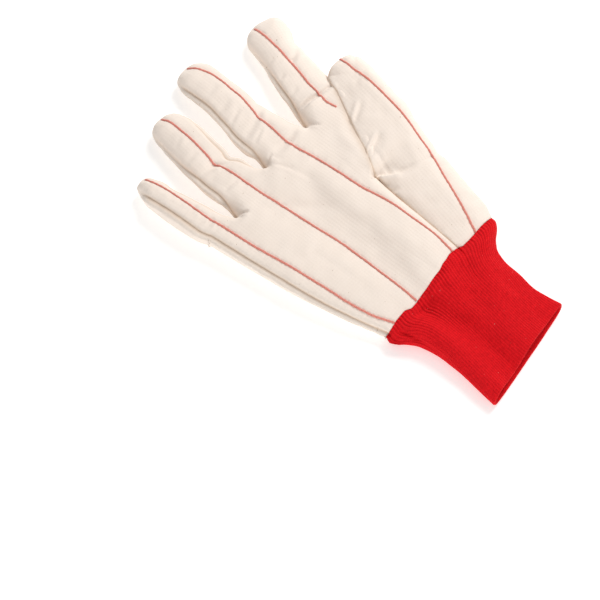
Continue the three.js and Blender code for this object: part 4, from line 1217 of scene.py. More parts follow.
def thumb_back_surface(grid: ThumbGrid) -> np.ndarray:
    """The outer surface of the thumb's back."""
    form = THUMB_FORM
    u, edge, power = grid.across, grid.edge, form.back_power
    edge_z = back_surface(grid.spots, np.full(len(u), CLEAR))[:, 2]
    hidden = np.where(grid.spots[:, 1] > THUMB_CROTCH_Y, 0, edge_z)
    tube = mix(grid.chord, grid.section["belly"], (1 - grid.full**power) ** (1 / power))
    far_only = mix(grid.chord, 0, (1 - np.maximum(0, u) ** power) ** (1 / power))
    beside = np.maximum(hidden * (u < form.back_hidden_to), far_only)
    height = np.where(grid.along <= THUMB_OPEN, beside, mix(beside, tube, grid.opened))
    hand = hand_height(grid.spots)
    covered = ease((hand - grid.chord + form.cover_over) / form.cover_over)
    sunk = THUMB_REST["back_sunk"] * gauss(edge, form.back_sunk_width) * covered
    lowered = height - sunk * grid.opened * (u < form.back_sunk_to)
    height = np.maximum(lowered, grid.opened * (hand - sunk))
    height = height + np.where(grid.joined, SEWING.grooved(edge), 0)
    x, y = grid.spots.T
    height = height + hollowed(THUMB_HOLLOWS, x, y) * (1 - grid.full)
    roll = SEWING.back_roll * form.back_roll * gauss(edge - form.back_roll_at, form.back_roll_width)
    tuck = SEWING.tucked(edge) * np.where(u < 0, form.near_tuck, 1) - np.where(u < 0, 0, roll)
    return grid.points(np.maximum(LYING, height), np.where(grid.joined, 0, tuck))


# Meshes


def select(piece: bpy.types.Object | None = None) -> None:
    """Leaves only this piece selected and active, or nothing selected."""
    bpy.ops.object.select_all(action="DESELECT")
    if piece is not None:
        piece.select_set(True)
        bpy.context.view_layer.objects.active = piece


def edit_all(piece: bpy.types.Object, operation: Callable, **settings: object) -> None:
    """Runs one mesh operation on the whole of a piece."""
    select(piece)
    bpy.ops.object.mode_set(mode="EDIT")
    bpy.ops.mesh.select_all(action="SELECT")
    operation(**settings)
    bpy.ops.object.mode_set(mode="OBJECT")


def mesh_object(name: str, points: np.ndarray, faces: list[list[int]], weave: np.ndarray | None = None,
                seam: np.ndarray | None = None) -> bpy.types.Object:
    """A new object from points in mm.

    Args:
        name: The piece's name.
        points: Its points, in mm.
        faces: The point numbers of each face.
        weave: For each point, its place across and along the cloth in mm.
        seam: For each point, how much painted shade it takes by a seam or the thumb, from 0 to 1.

    Returns:
        The object, active and selected.
    """
    mesh = bpy.data.meshes.new(name)
    mesh.from_pydata((points * MM).tolist(), [], faces)
    if weave is not None:
        layer = mesh.uv_layers.new(name="weave")
        loops = np.empty(len(mesh.loops), int)
        mesh.loops.foreach_get("vertex_index", loops)
        layer.data.foreach_set("uv", (weave[loops] / WEAVE_SCALE).ravel().astype(np.float32))
    if seam is not None:
        mark = mesh.attributes.new("seam", "FLOAT", "POINT")
        mark.data.foreach_set("value", seam.astype(np.float32))
    mesh.update()
    made = bpy.data.objects.new(name, mesh)
    bpy.context.collection.objects.link(made)
    select(made)
    return made


def grid_faces(rows: int, columns: int, down: bool = False, closed: bool = False) -> np.ndarray:
    """Faces of a grid of points, looking up or down, closed across or open."""
    index = np.arange(rows * columns).reshape(rows, columns)
    if closed:
        index = np.c_[index, index[:, :1]]
    faces = np.stack([index[:-1, :-1], index[:-1, 1:], index[1:, 1:], index[1:, :-1]], -1).reshape(-1, 4)
    return faces[:, ::-1] if down else faces


def finish_cloth(piece: bpy.types.Object, thickness: float) -> None:
    """Merges a sheet's shared points, gives it its wall and shades it smooth.

    Args:
        piece: The sheet.
        thickness: The wall, in mm, which goes to the inside.
    """
    edit_all(piece, bpy.ops.mesh.remove_doubles, threshold=MERGE_MM * MM)
    wall = piece.modifiers.new("wall", "SOLIDIFY")
    wall.thickness = thickness * MM
    wall.offset = -1
    wall.use_rim = True
    bpy.ops.object.modifier_apply(modifier="wall")
    bpy.ops.object.shade_smooth()


def dress(piece: bpy.types.Object, material: bpy.types.Material, cloth: Cloth, *nodes: str) -> None:
    """Gives a piece its finish and its place in the frame.

    Args:
        piece: The finished piece.
        material: Its finish.
        cloth: Which cloth it is; not used.
        nodes: The solids that it stands for.
    """
    piece.data.materials.clear()
    piece.data.materials.append(material)
    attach(piece, BODY)
    if nodes:
        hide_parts(*nodes)
    LOG.info("%s: %d faces", piece.name, len(piece.data.polygons))


# Finishes


@dataclass(frozen=True)
class Grain:
    """The grain of one noise: how fine, how detailed and how rough it is."""

    scale: float
    detail: float = 2.0
    rough: float = 0.5


class Sock:
    """A number in a shader, with the usual arithmetic."""

    def __init__(self, nodes: "Nodes", socket: bpy.types.NodeSocket) -> None:
        """Wraps one output socket."""
        self.nodes, self.socket = nodes, socket

    def _math(self, operation: str, *values: object) -> "Sock":
        """One Math node."""
        return self.nodes.add("ShaderNodeMath", {"operation": operation}, dict(enumerate(values)))

    def __add__(self, other: object) -> "Sock":
        """Sum."""
        return self._math("ADD", self, other)

    def __sub__(self, other: object) -> "Sock":
        """Difference."""
        return self._math("SUBTRACT", self, other)

    def __mul__(self, other: object) -> "Sock":
        """Product."""
        return self._math("MULTIPLY", self, other)

    def __radd__(self, other: object) -> "Sock":
        """Sum, other first."""
        return self._math("ADD", other, self)

    def __rsub__(self, other: object) -> "Sock":
        """Difference, other first."""
        return self._math("SUBTRACT", other, self)

    def sine(self) -> "Sock":
        """Sine of radians."""
        return self._math("SINE", self)

    def clamp(self) -> "Sock":
        """Held between 0 and 1."""
        return self.nodes.add("ShaderNodeClamp", {}, {0: self})

    def step(self, low: float, high: float) -> "Sock":
        """Rises smoothly from 0 at low to 1 at high."""
        values = {"Value": self, "From Min": low, "From Max": high}
        return self.nodes.add("ShaderNodeMapRange", {"interpolation_type": "SMOOTHSTEP"}, values)


class Nodes:
    """The node tree of one material."""

    def __init__(self, name: str) -> None:
        """Starts a material with a principled shader."""
        self.material = bpy.data.materials.new(name)
        self.material.use_nodes = True
        self.tree = self.material.node_tree
        self.shader = next(n for n in self.tree.nodes if n.type == "BSDF_PRINCIPLED")

    def add(self, kind: str, settings: dict, inputs: dict, output: int | str = 0) -> Sock:
        """Adds a node.

        Args:
            kind: The node's type.
            settings: Its own settings.
            inputs: Values or sockets by input name or number.
            output: The output that is wanted.

        Returns:
            That output.
        """
        node = self.tree.nodes.new(kind)
        for key, value in settings.items():
            setattr(node, key, value)
        for key, value in inputs.items():
            self.put(node.inputs[key], value)
        return Sock(self, node.outputs[output])

    def put(self, socket: bpy.types.NodeSocket, value: object) -> None:
        """Sets or links an input."""
        if isinstance(value, Sock):
            self.tree.links.new(value.socket, socket)
        else:
            socket.default_value = value

    def weave(self) -> tuple[Sock, Sock, Sock]:
        """The cloth's own coordinates: as a vector, across in mm and along in mm."""
        uv = self.add("ShaderNodeUVMap", {"uv_map": "weave"}, {})
        scaled = self.add("ShaderNodeVectorMath", {"operation": "SCALE"}, {0: uv, "Scale": WEAVE_SCALE})
        parts = self.add("ShaderNodeSeparateXYZ", {}, {0: scaled})
        along = Sock(self, parts.socket.node.outputs[1])
        return scaled, parts, along

    def seam(self) -> Sock:
        """How much painted shade each place takes by a seam, from 0 to 1."""
        return self.add("ShaderNodeAttribute", {"attribute_name": "seam"}, {}, "Fac")

    def place(self) -> Sock:
        """The object's coordinates, in metres."""
        return self.add("ShaderNodeTexCoord", {}, {}, "Object")

    def noise(self, vector: Sock, grain: Grain) -> Sock:
        """Noise from 0 to 1."""
        values = {"Vector": vector, "Scale": grain.scale, "Detail": grain.detail, "Roughness": grain.rough}
        return self.add("ShaderNodeTexNoise", {}, values)

    def blend(self, share: object, a: object, b: object) -> Sock:
        """A colour between two colours."""
        node = self.tree.nodes.new("ShaderNodeMix")
        node.data_type = "RGBA"
        for name, value in (("Factor_Float", share), ("A_Color", a), ("B_Color", b)):
            self.put(next(s for s in node.inputs if s.identifier == name), value)
        return Sock(self, next(s for s in node.outputs if s.identifier == "Result_Color"))

    def bump(self, height: Sock, strength: float = 1.0) -> None:
        """Feeds a height in mm to the shader's normal."""
        values = {"Height": height, "Distance": MM, "Strength": strength}
        self.surface({"Normal": self.add("ShaderNodeBump", {}, values)})

    def surface(self, values: dict[str, object]) -> None:
        """Sets or links inputs of the shader by their names."""
        for name, value in values.items():
            self.put(self.shader.inputs[name], value)


@dataclass(frozen=True)
class CanvasFinish:
    """Cream cotton canvas with fine lengthwise cords, small brown cotton flecks and painted brown shade along
    its seams, sizes in mm.
    """

    name: str
    light: Colour = (0.91, 0.805, 0.72, 1)
    shade: Colour = (0.75, 0.60, 0.485, 1)
    fleck: Colour = (0.30, 0.16, 0.07, 1)
    # The crease colour is painted shade, laid along the seams, in the back's grooves and beside the thumb's
    # near edge.
    crease: Colour = (0.58, 0.39, 0.24, 1)
    lint: Colour = (0.95, 0.90, 0.84, 1)
    cord_pitch: float = 1.9
    cross_pitch: float = 1.72
    cord_height: float = 0.016
    cross_height: float = 0.018
    nap: float = 0.04
    sway: float = 0.9
    sway_grain: Grain = Grain(0.16)
    fuzz_grain: Grain = Grain(2.6, 3.0, 0.65)
    patch_grain: Grain = Grain(0.09, 3.0)
    spot_grain: Grain = Grain(0.9, 1.0, 0.4)
    rare_grain: Grain = Grain(0.21, 1.0)
    lint_grain: Grain = Grain(1.5, 1.0)
    lint_share: float = 0.25
    fleck_share: float = 0.75
    seam_shade_share: float = 0.6

    def make(self) -> bpy.types.Material:
        """Builds the material."""
        n = Nodes(self.name)
        vector, across, along = n.weave()
        sway = (n.noise(vector, self.sway_grain) - 0.5) * self.sway
        cord = ((across + sway) * (FULL_TURN / self.cord_pitch)).sine()
        cross = ((along + sway) * (FULL_TURN / self.cross_pitch)).sine()
        fuzz = n.noise(vector, self.fuzz_grain) - 0.5
        patch = n.noise(vector, self.patch_grain) - 0.45
        spots = n.noise(vector, self.spot_grain).step(0.735, 0.80)
        fleck = spots * n.noise(vector, self.rare_grain).step(0.50, 0.62)
        lint = n.noise(vector, self.lint_grain).step(0.70, 0.80)
        dark = 0.10 - cord * 0.013 - cross * 0.020 + patch * 0.22 + fuzz * 0.14
        colour = n.blend(dark.clamp(), self.light, self.shade)
        colour = n.blend(lint * self.lint_share, colour, self.lint)
        colour = n.blend(fleck * self.fleck_share, colour, self.fleck)
        # Painted shade: the seam attribute darkens the cloth toward the crease colour along seams, grooves
        # and the thumb's near edge.
        colour = n.blend((n.seam() * self.seam_shade_share).clamp(), colour, self.crease)
        n.surface({"Base Color": colour, "Roughness": 0.86 + fuzz * 0.12, "Specular IOR Level": 0.18})
        n.surface({"Sheen Weight": 0.25, "Sheen Roughness": 0.6})
        n.bump(cord * self.cord_height + cross * self.cross_height + fuzz * self.nap * 2)
        return n.material


@dataclass(frozen=True)
class KnitFinish:
    """Red cotton rib knit, sizes in mm."""

    name: str = "rib_knit_red"
    light: Colour = (0.84, 0.008, 0.014, 1)
    shade: Colour = (0.42, 0.001, 0.004, 1)
    lint: Colour = (0.85, 0.35, 0.30, 1)
    sheen: Colour = (1, 0.45, 0.4, 1)
    loop_pitch: float = 1.05
    loop_lean: float = 0.22
    loop_height: float = 0.06
    nap: float = 0.16
    fuzz_grain: Grain = Grain(2.2, 3.0, 0.7)
    patch_grain: Grain = Grain(0.5)
    lint_grain: Grain = Grain(0.8, 1.0)
    lint_share: float = 0.5

    def make(self) -> bpy.types.Material:
        """Builds the material."""
        n = Nodes(self.name)
        vector, across, along = n.weave()
        lean = (across * FULL_TURN).sine()
        loops = ((along + lean * self.loop_lean) * (FULL_TURN / self.loop_pitch)).sine()
        fuzz = n.noise(vector, self.fuzz_grain) - 0.5
        patch = n.noise(vector, self.patch_grain) - 0.5
        dark = 0.30 - lean * 0.04 + patch * 0.7 + fuzz * 1.2 - loops * 0.10
        colour = n.blend(dark.clamp(), self.light, self.shade)
        lint = n.noise(vector, self.lint_grain).step(0.77, 0.80)
        colour = n.blend(lint * self.lint_share, colour, self.lint)
        n.surface({"Base Color": colour, "Roughness": 0.82 + fuzz * 0.15, "Specular IOR Level": 0.12})
        n.surface({"Sheen Weight": 0.03, "Sheen Roughness": 0.5, "Sheen Tint": self.sheen})
        n.bump(loops * self.loop_height + fuzz * self.nap)
        return n.material


@dataclass(frozen=True)
class ThreadFinish:
    """Twisted sewing thread, with darker fibres between its lighter ones."""

    name: str
    colour: Colour
    grain: Grain = Grain(2500.0)
    dark: float = 0.45
    dark_share: float = 0.6

    def make(self) -> bpy.types.Material:
        """Builds the material."""
        n = Nodes(self.name)
        fuzz = n.noise(n.place(), self.grain)
        darker = (*[value * self.dark for value in self.colour[:3]], 1)
        colour = n.blend((fuzz * self.dark_share).clamp(), self.colour, darker)
        n.surface({"Base Color": colour, "Roughness": 0.7})
        n.bump(fuzz * 0.1, 0.6)
        return n.material


# Sub-assemblies


def cosine(count: int) -> np.ndarray:
    """Places from 0 to 1, closer together near both ends."""
    return (1 - np.cos(np.linspace(0, math.pi, count + 1))) / 2


@dataclass
class Hand:
    """The double palm and the four finger backs."""

    canvas: bpy.types.Material
    plain: bpy.types.Material
    palm_wall: float = 2.0
    back_wall: float = 1.3
    columns: int = 34
    palm_steps: int = 120
    finger_steps: int = 72
    tip_steps: int = 18
    weave_start: float = 58
    weave_lead: float = 0.8
    weave_turns_over: float = 22
    # Widths in mm and shares of the painted shade along the seams, in the back's grooves and, as a painted
    # contact shadow, beside the thumb's near edge.
    seam_shade_width: float = 0.7
    thumb_shadow_width: float = 1.8
    thumb_shadow_share: float = 0.5
    back_seam_shade_width: float = 0.3
    groove_shade_width: float = 0.9
    groove_shade_share: float = 0.8

    def _weave(self, strip: int, spots: np.ndarray, past: np.ndarray) -> np.ndarray:
        """Where each point lies on the cloth: the cords run straight up the palm and along each finger."""
        sections = np.array([(section.x, section.y) for section in FINGERS[strip].sections])
        lead = (sections[1][0] - sections[0][0]) * self.weave_lead
        start = np.array([sections[0][0] - lead, self.weave_start])
        line = np.r_[start[None], sections]
        way = unit(sections[-1] - sections[0])
        ahead = (spots - start) @ way
        centre = np.c_[np.interp(spots[:, 1], line[:, 1], line[:, 0]), spots[:, 1]]
        across = (spots - centre) @ np.array([way[1], -way[0]]) + start[0]
        share = ease(past / self.weave_turns_over)
        return np.c_[mix(spots[:, 0], across, share), mix(spots[:, 1], start[1] + ahead, share)]

    def _grid(self, strip: int, across: np.ndarray) -> tuple[np.ndarray, np.ndarray]:
        """A strip's plan, and how far each point is past the crotches."""
        rows = PATTERN.strip(strip, across, self.palm_steps, self.finger_steps, self.tip_steps)
        run = travelled(rows[:, len(across) // 2])
        past = np.maximum(0, run - run[self.palm_steps])
        return rows, np.repeat(past, len(across))

    def palm(self) -> bpy.types.Object:
        """The palm and the finger fronts, one piece of doubled cloth."""
        points, faces, weave, seam, start = [], [], [], [], 0
        thumb_side = [row[:2] for row in THUMB[3:]]
        across = cosine(self.columns)
        for strip in range(len(FINGERS)):
            rows, past = self._grid(strip, across)
            spots = rows.reshape(-1, 2)
            points.append(front_surface(strip, np.tile(across, len(rows)), spots, past))
            weave.append(self._weave(strip, spots, past))
            # Painted shade along the palm's seams, and a painted contact shadow beside the thumb's near edge
            # on the index strip.
            edge = PATTERN.palm_outline.nearest(spots)
            seam_shade = gauss(edge.distance, self.seam_shade_width) * edge.rolled
            thumb_shadow = gauss(line_distance(spots, thumb_side)[0], self.thumb_shadow_width) * (strip == INDEX_STRIP)
            seam.append(np.maximum(seam_shade, self.thumb_shadow_share * thumb_shadow))
            faces += (grid_faces(len(rows), len(across)) + start).tolist()
            start += len(spots)
        points, weave, seam = (np.concatenate(part) for part in (points, weave, seam))
        piece = mesh_object("palm_cloth", points, faces, weave, seam)
        finish_cloth(piece, self.palm_wall)
        dress(piece, self.canvas, Cloth.PALM, "palm")
        return piece

    def back(self, strip: int) -> bpy.types.Object:
        """One finger's back with its part of the back of the hand."""
        across = cosine(self.columns)
        rows, past = self._grid(strip, across)
        width = np.repeat(np.linalg.norm(rows[:, -1] - rows[:, 0], axis=1), len(across))
        shares = np.tile(across, len(rows))
        row = np.repeat(np.arange(len(rows)), len(across))
        free = past > 0
        free_far = free | ((strip == INDEX_STRIP) & (row > self.palm_steps * THUMB_CROTCH_SHARE))
        near = np.where(free | (strip == 0), CLEAR, shares * width)
        groove = np.minimum(near, np.where(free_far, CLEAR, (1 - shares) * width))
        spots = rows.reshape(-1, 2)
        faces = grid_faces(len(rows), len(across), down=True).tolist()
        # Painted shade along the back's seam and in the grooves between its strips.
        edge = PATTERN.back_outline.nearest(spots)
        seam = gauss(edge.distance, self.back_seam_shade_width) * edge.rolled
        seam = np.maximum(seam, self.groove_shade_share * gauss(groove, self.groove_shade_width))
        name = f"{FINGERS[strip].name}_back"
        points = back_surface(spots, groove)
        piece = mesh_object(f"{name}_cloth", points, faces, self._weave(strip, spots, past), seam)
        finish_cloth(piece, self.back_wall)
        dress(piece, self.plain, Cloth.BACK, name)
        return piece

    def build(self) -> list[bpy.types.Object]:
        """Builds the hand's five panels."""
        return [self.palm(), *[self.back(strip) for strip in range(len(FINGERS))]]


@dataclass
class Thumb:
    """The thumb's front and back."""

    canvas: bpy.types.Material
    plain: bpy.types.Material
    front_wall: float = 1.9
    back_wall: float = 1.3
    columns: int = 44
    steps: int = 110
    tip_steps: int = 20
    axis_lead: float = 20
    axis_rise: float = 92.0
    # Painted shade along the thumb's seams: how far in from the free near edge it lies, its width and its
    # share on the far side.
    free_edge_shade_inset: float = 0.8
    seam_shade_width: float = 0.8
    far_shade_share: float = 0.3

    def build(self) -> list[bpy.types.Object]:
        """Builds both panels."""
        across = -np.cos(np.linspace(0, math.pi, self.columns + 1))
        grid = thumb_grid(across, self.steps, self.tip_steps)
        rows = self.steps + 1 + self.tip_steps
        axis = unit(np.array([THUMB[-1][0] - THUMB[1][3] + self.axis_lead, self.axis_rise]))
        weave = np.c_[grid.spots @ np.array([axis[1], -axis[0]]), grid.spots @ axis]
        # Painted shade along the thumb's seams, weaker on the far side.
        free = (grid.across < 0) & (grid.along > THUMB_OPEN)
        seam = gauss(grid.edge - self.free_edge_shade_inset * free, self.seam_shade_width)
        seam = seam * np.where(grid.across < 0, 1, self.far_shade_share)
        up = grid_faces(rows, len(across)).tolist()
        down = grid_faces(rows, len(across), down=True).tolist()
        front = mesh_object("thumb_front_cloth", thumb_front_surface(grid), up, weave, seam)
        finish_cloth(front, self.front_wall)
        dress(front, self.canvas, Cloth.PALM, "thumb_front")
        back = mesh_object("thumb_back_cloth", thumb_back_surface(grid), down, weave, seam)
        finish_cloth(back, self.back_wall)
        dress(back, self.plain, Cloth.BACK, "thumb_back")
        return [front, back]


@dataclass(frozen=True)
class KnitSection:
    """One section of the knit wrist."""

    y: float
    left: float
    right: float
    height: float
    tilt: float
    follow: float


KNIT = (
    KnitSection(-57.0, -45.2, 49.8, 15.5, 0, 1),
    KnitSection(-60.5, -47.3, 48.0, 15.5, 0, 0.6),
    KnitSection(-64.5, -45.0, 43.6, 15.2, 0, 0.2),
    KnitSection(-68.5, -40.6, 38.9, 15, 0.01, 0.05),
    KnitSection(-75, -36.9, 34.6, 14.5, 0.02, 0),
    KnitSection(-88, -35.2, 32.2, 13.5, 0.04, 0),
    KnitSection(-105, -36.2, 30.8, 12, 0.07, 0),
    KnitSection(-122.8, -38, 33, 10.6, 0.1, 0),
)
KNIT_SWELLS = (
    Swell(((-30, -66), (-27, -78), (-28, -94), (-30, -108), (-31, -124)), 2.1, 5, 7),
    Swell(((-20, -57), (-18, -64), (-16, -73), (-13.5, -86), (-14, -104), (-17, -124)), -3.8, 7, 8),
    Swell(((3, -57), (5, -70)), 1.4, 7, 7),
    Swell(((27, -62), (19, -76), (11, -90), (4, -104), (-1, -124)), 2.5, 11, 8),
    Swell(((14, -58), (8, -68), (0, -80)), -0.8, 4, 4),
    Swell(((-12, -58), (-14, -66)), 0.7, 4, 4),
    Swell(((2, -58), (-1, -70)), 0.5, 3, 3),
    Swell(((-41.5, -59.5), (-39.2, -63.5), (-37.2, -68.3), (-36.4, -78), (-36, -90)), -2.8, 1.6, 2.0),
)
KNIT_LUMPS = (Lumps(0.14, 8, 51, 2.5), Lumps(0.30, 19, 52))


@dataclass
class KnitWrist:
    """The ribbed knit band, with sizes in mm and its ribs gathered by the wrist seam."""

    knit: bpy.types.Material
    ribs: int = 98
    rib_depth: float = 0.26
    rib_sharpness: float = 0.8
    gather: float = 0.8
    gather_reach: float = 11
    pulled_in: float = -0.8
    puff: float = 0.3
    puff_at: float = 3.0
    puff_width: float = 2.2
    corner_puff: float = 1.8
    corner_x: float = -46
    corner_width: float = 5
    top_squareness: float = 2.3
    under_squareness: float = 3.4
    twist: float = 0.03
    twist_from: float = 10
    twist_over: float = 55
    lumps_over: float = 6
    swells_over: float = 8
    swell_rate: float = 1.6
    swell_above: float = 0.5
    pull_seed: int = 9
    wall: float = 2.2
    hem_depth: float = 0.45
    hem_steps: int = 8
    setback: float = 1.8
    setback_y: float = -100
    setback_over: float = 20
    seam_rate: float = 0.35
    points_per_rib: int = 8
    rows: int = 84
    lining_every: int = 6
    outline_points: int = 400
    lowest: float = 0.01

    def _wrist_line(self) -> tuple[np.ndarray, ...]:
        """The wrist seam's upper and lower side as lines of x and z."""
        across = cosine(10)
        flat = np.zeros(len(across))
        upper, lower = [], []
        for strip in range(len(FINGERS)):
            spots = PATTERN.strip(strip, across, 4, 2, 1)[0]
            upper.append(front_surface(strip, across, spots, flat)[:, [0, 2]])
            lower.append(back_surface(spots, flat + CLEAR)[:, [0, 2]])
        columns = -np.cos(np.linspace(0, math.pi, 12))
        grid = thumb_grid(columns, 4, 1)
        upper.append(thumb_front_surface(grid)[:len(columns)][:, [0, 2]])
        lower.append(thumb_back_surface(grid)[:len(columns)][:, [0, 2]])
        sides = [np.concatenate(side) for side in (upper, lower)]
        return tuple(side[np.argsort(side[:, 0])] for side in sides)

    @staticmethod
    def _evenly(line: np.ndarray, count: int, turn: float) -> np.ndarray:
        """Points spaced evenly over a closed line's upper part and evenly over its lower part."""
        closed = np.r_[line, line[:1]]
        length = travelled(closed)
        middle = length[np.argmax(line[:, 0])]
        share = 2 * ((np.arange(count) / count - turn) % 1)
        at = np.where(share < 1, share * middle, middle + (share - 1) * (length[-1] - middle))
        return np.c_[np.interp(at, length, closed[:, 0]), np.interp(at, length, closed[:, 1])]

    def _ring(self, section: KnitSection, wrist: tuple[np.ndarray, ...], count: int) -> np.ndarray:
        """One ring of the band's outer surface, without its ribs."""
        turn = math.pi - FULL_TURN * np.arange(self.outline_points) / self.outline_points
        power = np.where(np.sin(turn) > 0, 2 / self.top_squareness, 2 / self.under_squareness)
        half = (section.right - section.left) / 2
        x = (section.left + section.right) / 2 + half * powered(np.cos(turn), power)
        z = section.height / 2 * (1 + powered(np.sin(turn), power))
        twisted = float(np.clip((WRIST_Y - self.twist_from - section.y) / self.twist_over, 0, 1))
        ring = self._evenly(np.c_[x, z], count, self.twist * twisted)
        upper, lower = wrist
        share = np.clip((ring[:, 0] - section.left) / (section.right - section.left), 0, 1)
        at = mix(min(upper[0, 0], lower[0, 0]), max(upper[-1, 0], lower[-1, 0]), share)
        above = np.interp(at, upper[:, 0], upper[:, 1])
        below = np.interp(at, lower[:, 0], lower[:, 1])
        seam_z = np.where(ring[:, 1] > section.height / 2, above, below)
        follow = section.follow
        return np.c_[mix(ring[:, 0], at, follow), mix(ring[:, 1], seam_z, follow**self.seam_rate)]

    def _ribbed(self, section: KnitSection, ring: np.ndarray, ribs: np.ndarray,
                pulls: np.ndarray) -> np.ndarray:
        """A ring with its ribs, gathers, swells and puff.

        Args:
            section: The band's section here.
            ring: The ring without them, as x and z.
            ribs: Where each point lies on its rib, from 0 on its top to -1 beside it.
            pulls: How tightly each rib is gathered.

        Returns:
            Points in mm.
        """
        x = ring[:, 0]
        run = np.roll(ring, -1, 0) - np.roll(ring, 1, 0)
        normal = unit(np.c_[-run[:, 1], run[:, 0]])
        down = WRIST_Y - section.y
        upper = np.clip(ring[:, 1] / section.height, 0, 1)
        gather = 1 + self.gather * (1 + pulls) * math.exp(-down / self.gather_reach)
        level = np.full(len(ring), section.y)
        on_top = ease(upper * self.swell_rate - self.swell_above)
        swell = sum(one.lift(x, level) for one in KNIT_SWELLS) * on_top
        corner = 1 + self.corner_puff * gauss(x - self.corner_x, self.corner_width)
        lift = self.rib_depth * gather * ribs
        lift = lift + raised(KNIT_LUMPS, x, level) * ease(down / self.lumps_over)
        lift = lift + swell * ease(down / self.swells_over)
        lift = lift + self.puff * corner * gauss(down - self.puff_at, self.puff_width)
        points = ring + normal * lift[:, None]
        setback = self.setback * upper * np.clip((self.setback_y - section.y) / self.setback_over, 0, 1)
        bow = wrist_bow(x) * (1 - ease(down / WRIST_BOW_FADE["knit"]))
        y = section.y + section.tilt * x + setback + bow
        return np.c_[points[:, 0], y, np.maximum(points[:, 1], self.lowest)]

    def build(self) -> list[bpy.types.Object]:
        """Builds the band as a ribbed tube with a folded hem."""
        count = self.ribs * self.points_per_rib
        wrist = self._wrist_line()
        table = np.array([[s.y, s.left, s.right, s.height, s.tilt, s.follow] for s in KNIT])
        table = spline(table, np.linspace(0, 1, self.rows))
        table[:, -1] = np.clip(table[:, -1], 0, 1)
        phase = FULL_TURN * np.arange(count) / self.points_per_rib
        ribs = (np.cos(phase) * 0.5 + 0.5) ** self.rib_sharpness - 1
        rng = np.random.default_rng(self.pull_seed)
        pulls = np.repeat(rng.uniform(self.pulled_in, 1, self.ribs), self.points_per_rib)
        sections = [KnitSection(*(float(value) for value in row)) for row in table]
        outer = np.array([self._ribbed(s, self._ring(s, wrist, count), ribs, pulls) for s in sections])
        grid = np.concatenate([outer, *self._hem_and_lining(outer)])
        faces = grid_faces(len(grid), count, closed=True, down=True)
        rim = np.arange(count)
        last = (len(grid) - 1) * count
        cap = np.stack([rim, np.roll(rim, -1), last + np.roll(rim, -1), last + rim], -1)
        around = np.tile(np.arange(count) / self.points_per_rib, len(grid))
        weave = np.c_[around, np.repeat(travelled(grid[:, 0]), count)]
        piece = mesh_object("knit_wrist_cloth", grid.reshape(-1, 3), np.r_[faces, cap].tolist(), weave)
        bpy.ops.object.shade_smooth()
        dress(piece, self.knit, Cloth.KNIT, "knit_wrist")
        return [piece]

    def _hem_and_lining(self, outer: np.ndarray) -> tuple[np.ndarray, np.ndarray]:
        """The rounded fold at the hem and the lining up to the wrist seam."""
        def inward(ring: np.ndarray) -> np.ndarray:
            """Directions into the band, over a rib and a half to each side."""
            reach = self.points_per_rib * 3 // 2
            flat = ring[:, [0, 2]]
            run = np.roll(flat, -reach, 0) - np.roll(flat, reach, 0)
            normal = unit(np.c_[-run[:, 1], run[:, 0]])
            return np.c_[-normal[:, 0], np.zeros(len(ring)), -normal[:, 1]]

        last = outer[-1]
        way = inward(last)
        hem = []
        for turn in np.linspace(0, math.pi, self.hem_steps)[1:-1]:
            depth = self.wall / 2 * (1 - math.cos(turn))
            hem.append(last + way * depth + np.array([0, -self.wall * self.hem_depth * math.sin(turn), 0]))
        inner = [ring + inward(ring) * self.wall for ring in outer[::-self.lining_every]]
        return np.array(hem), np.array(inner)


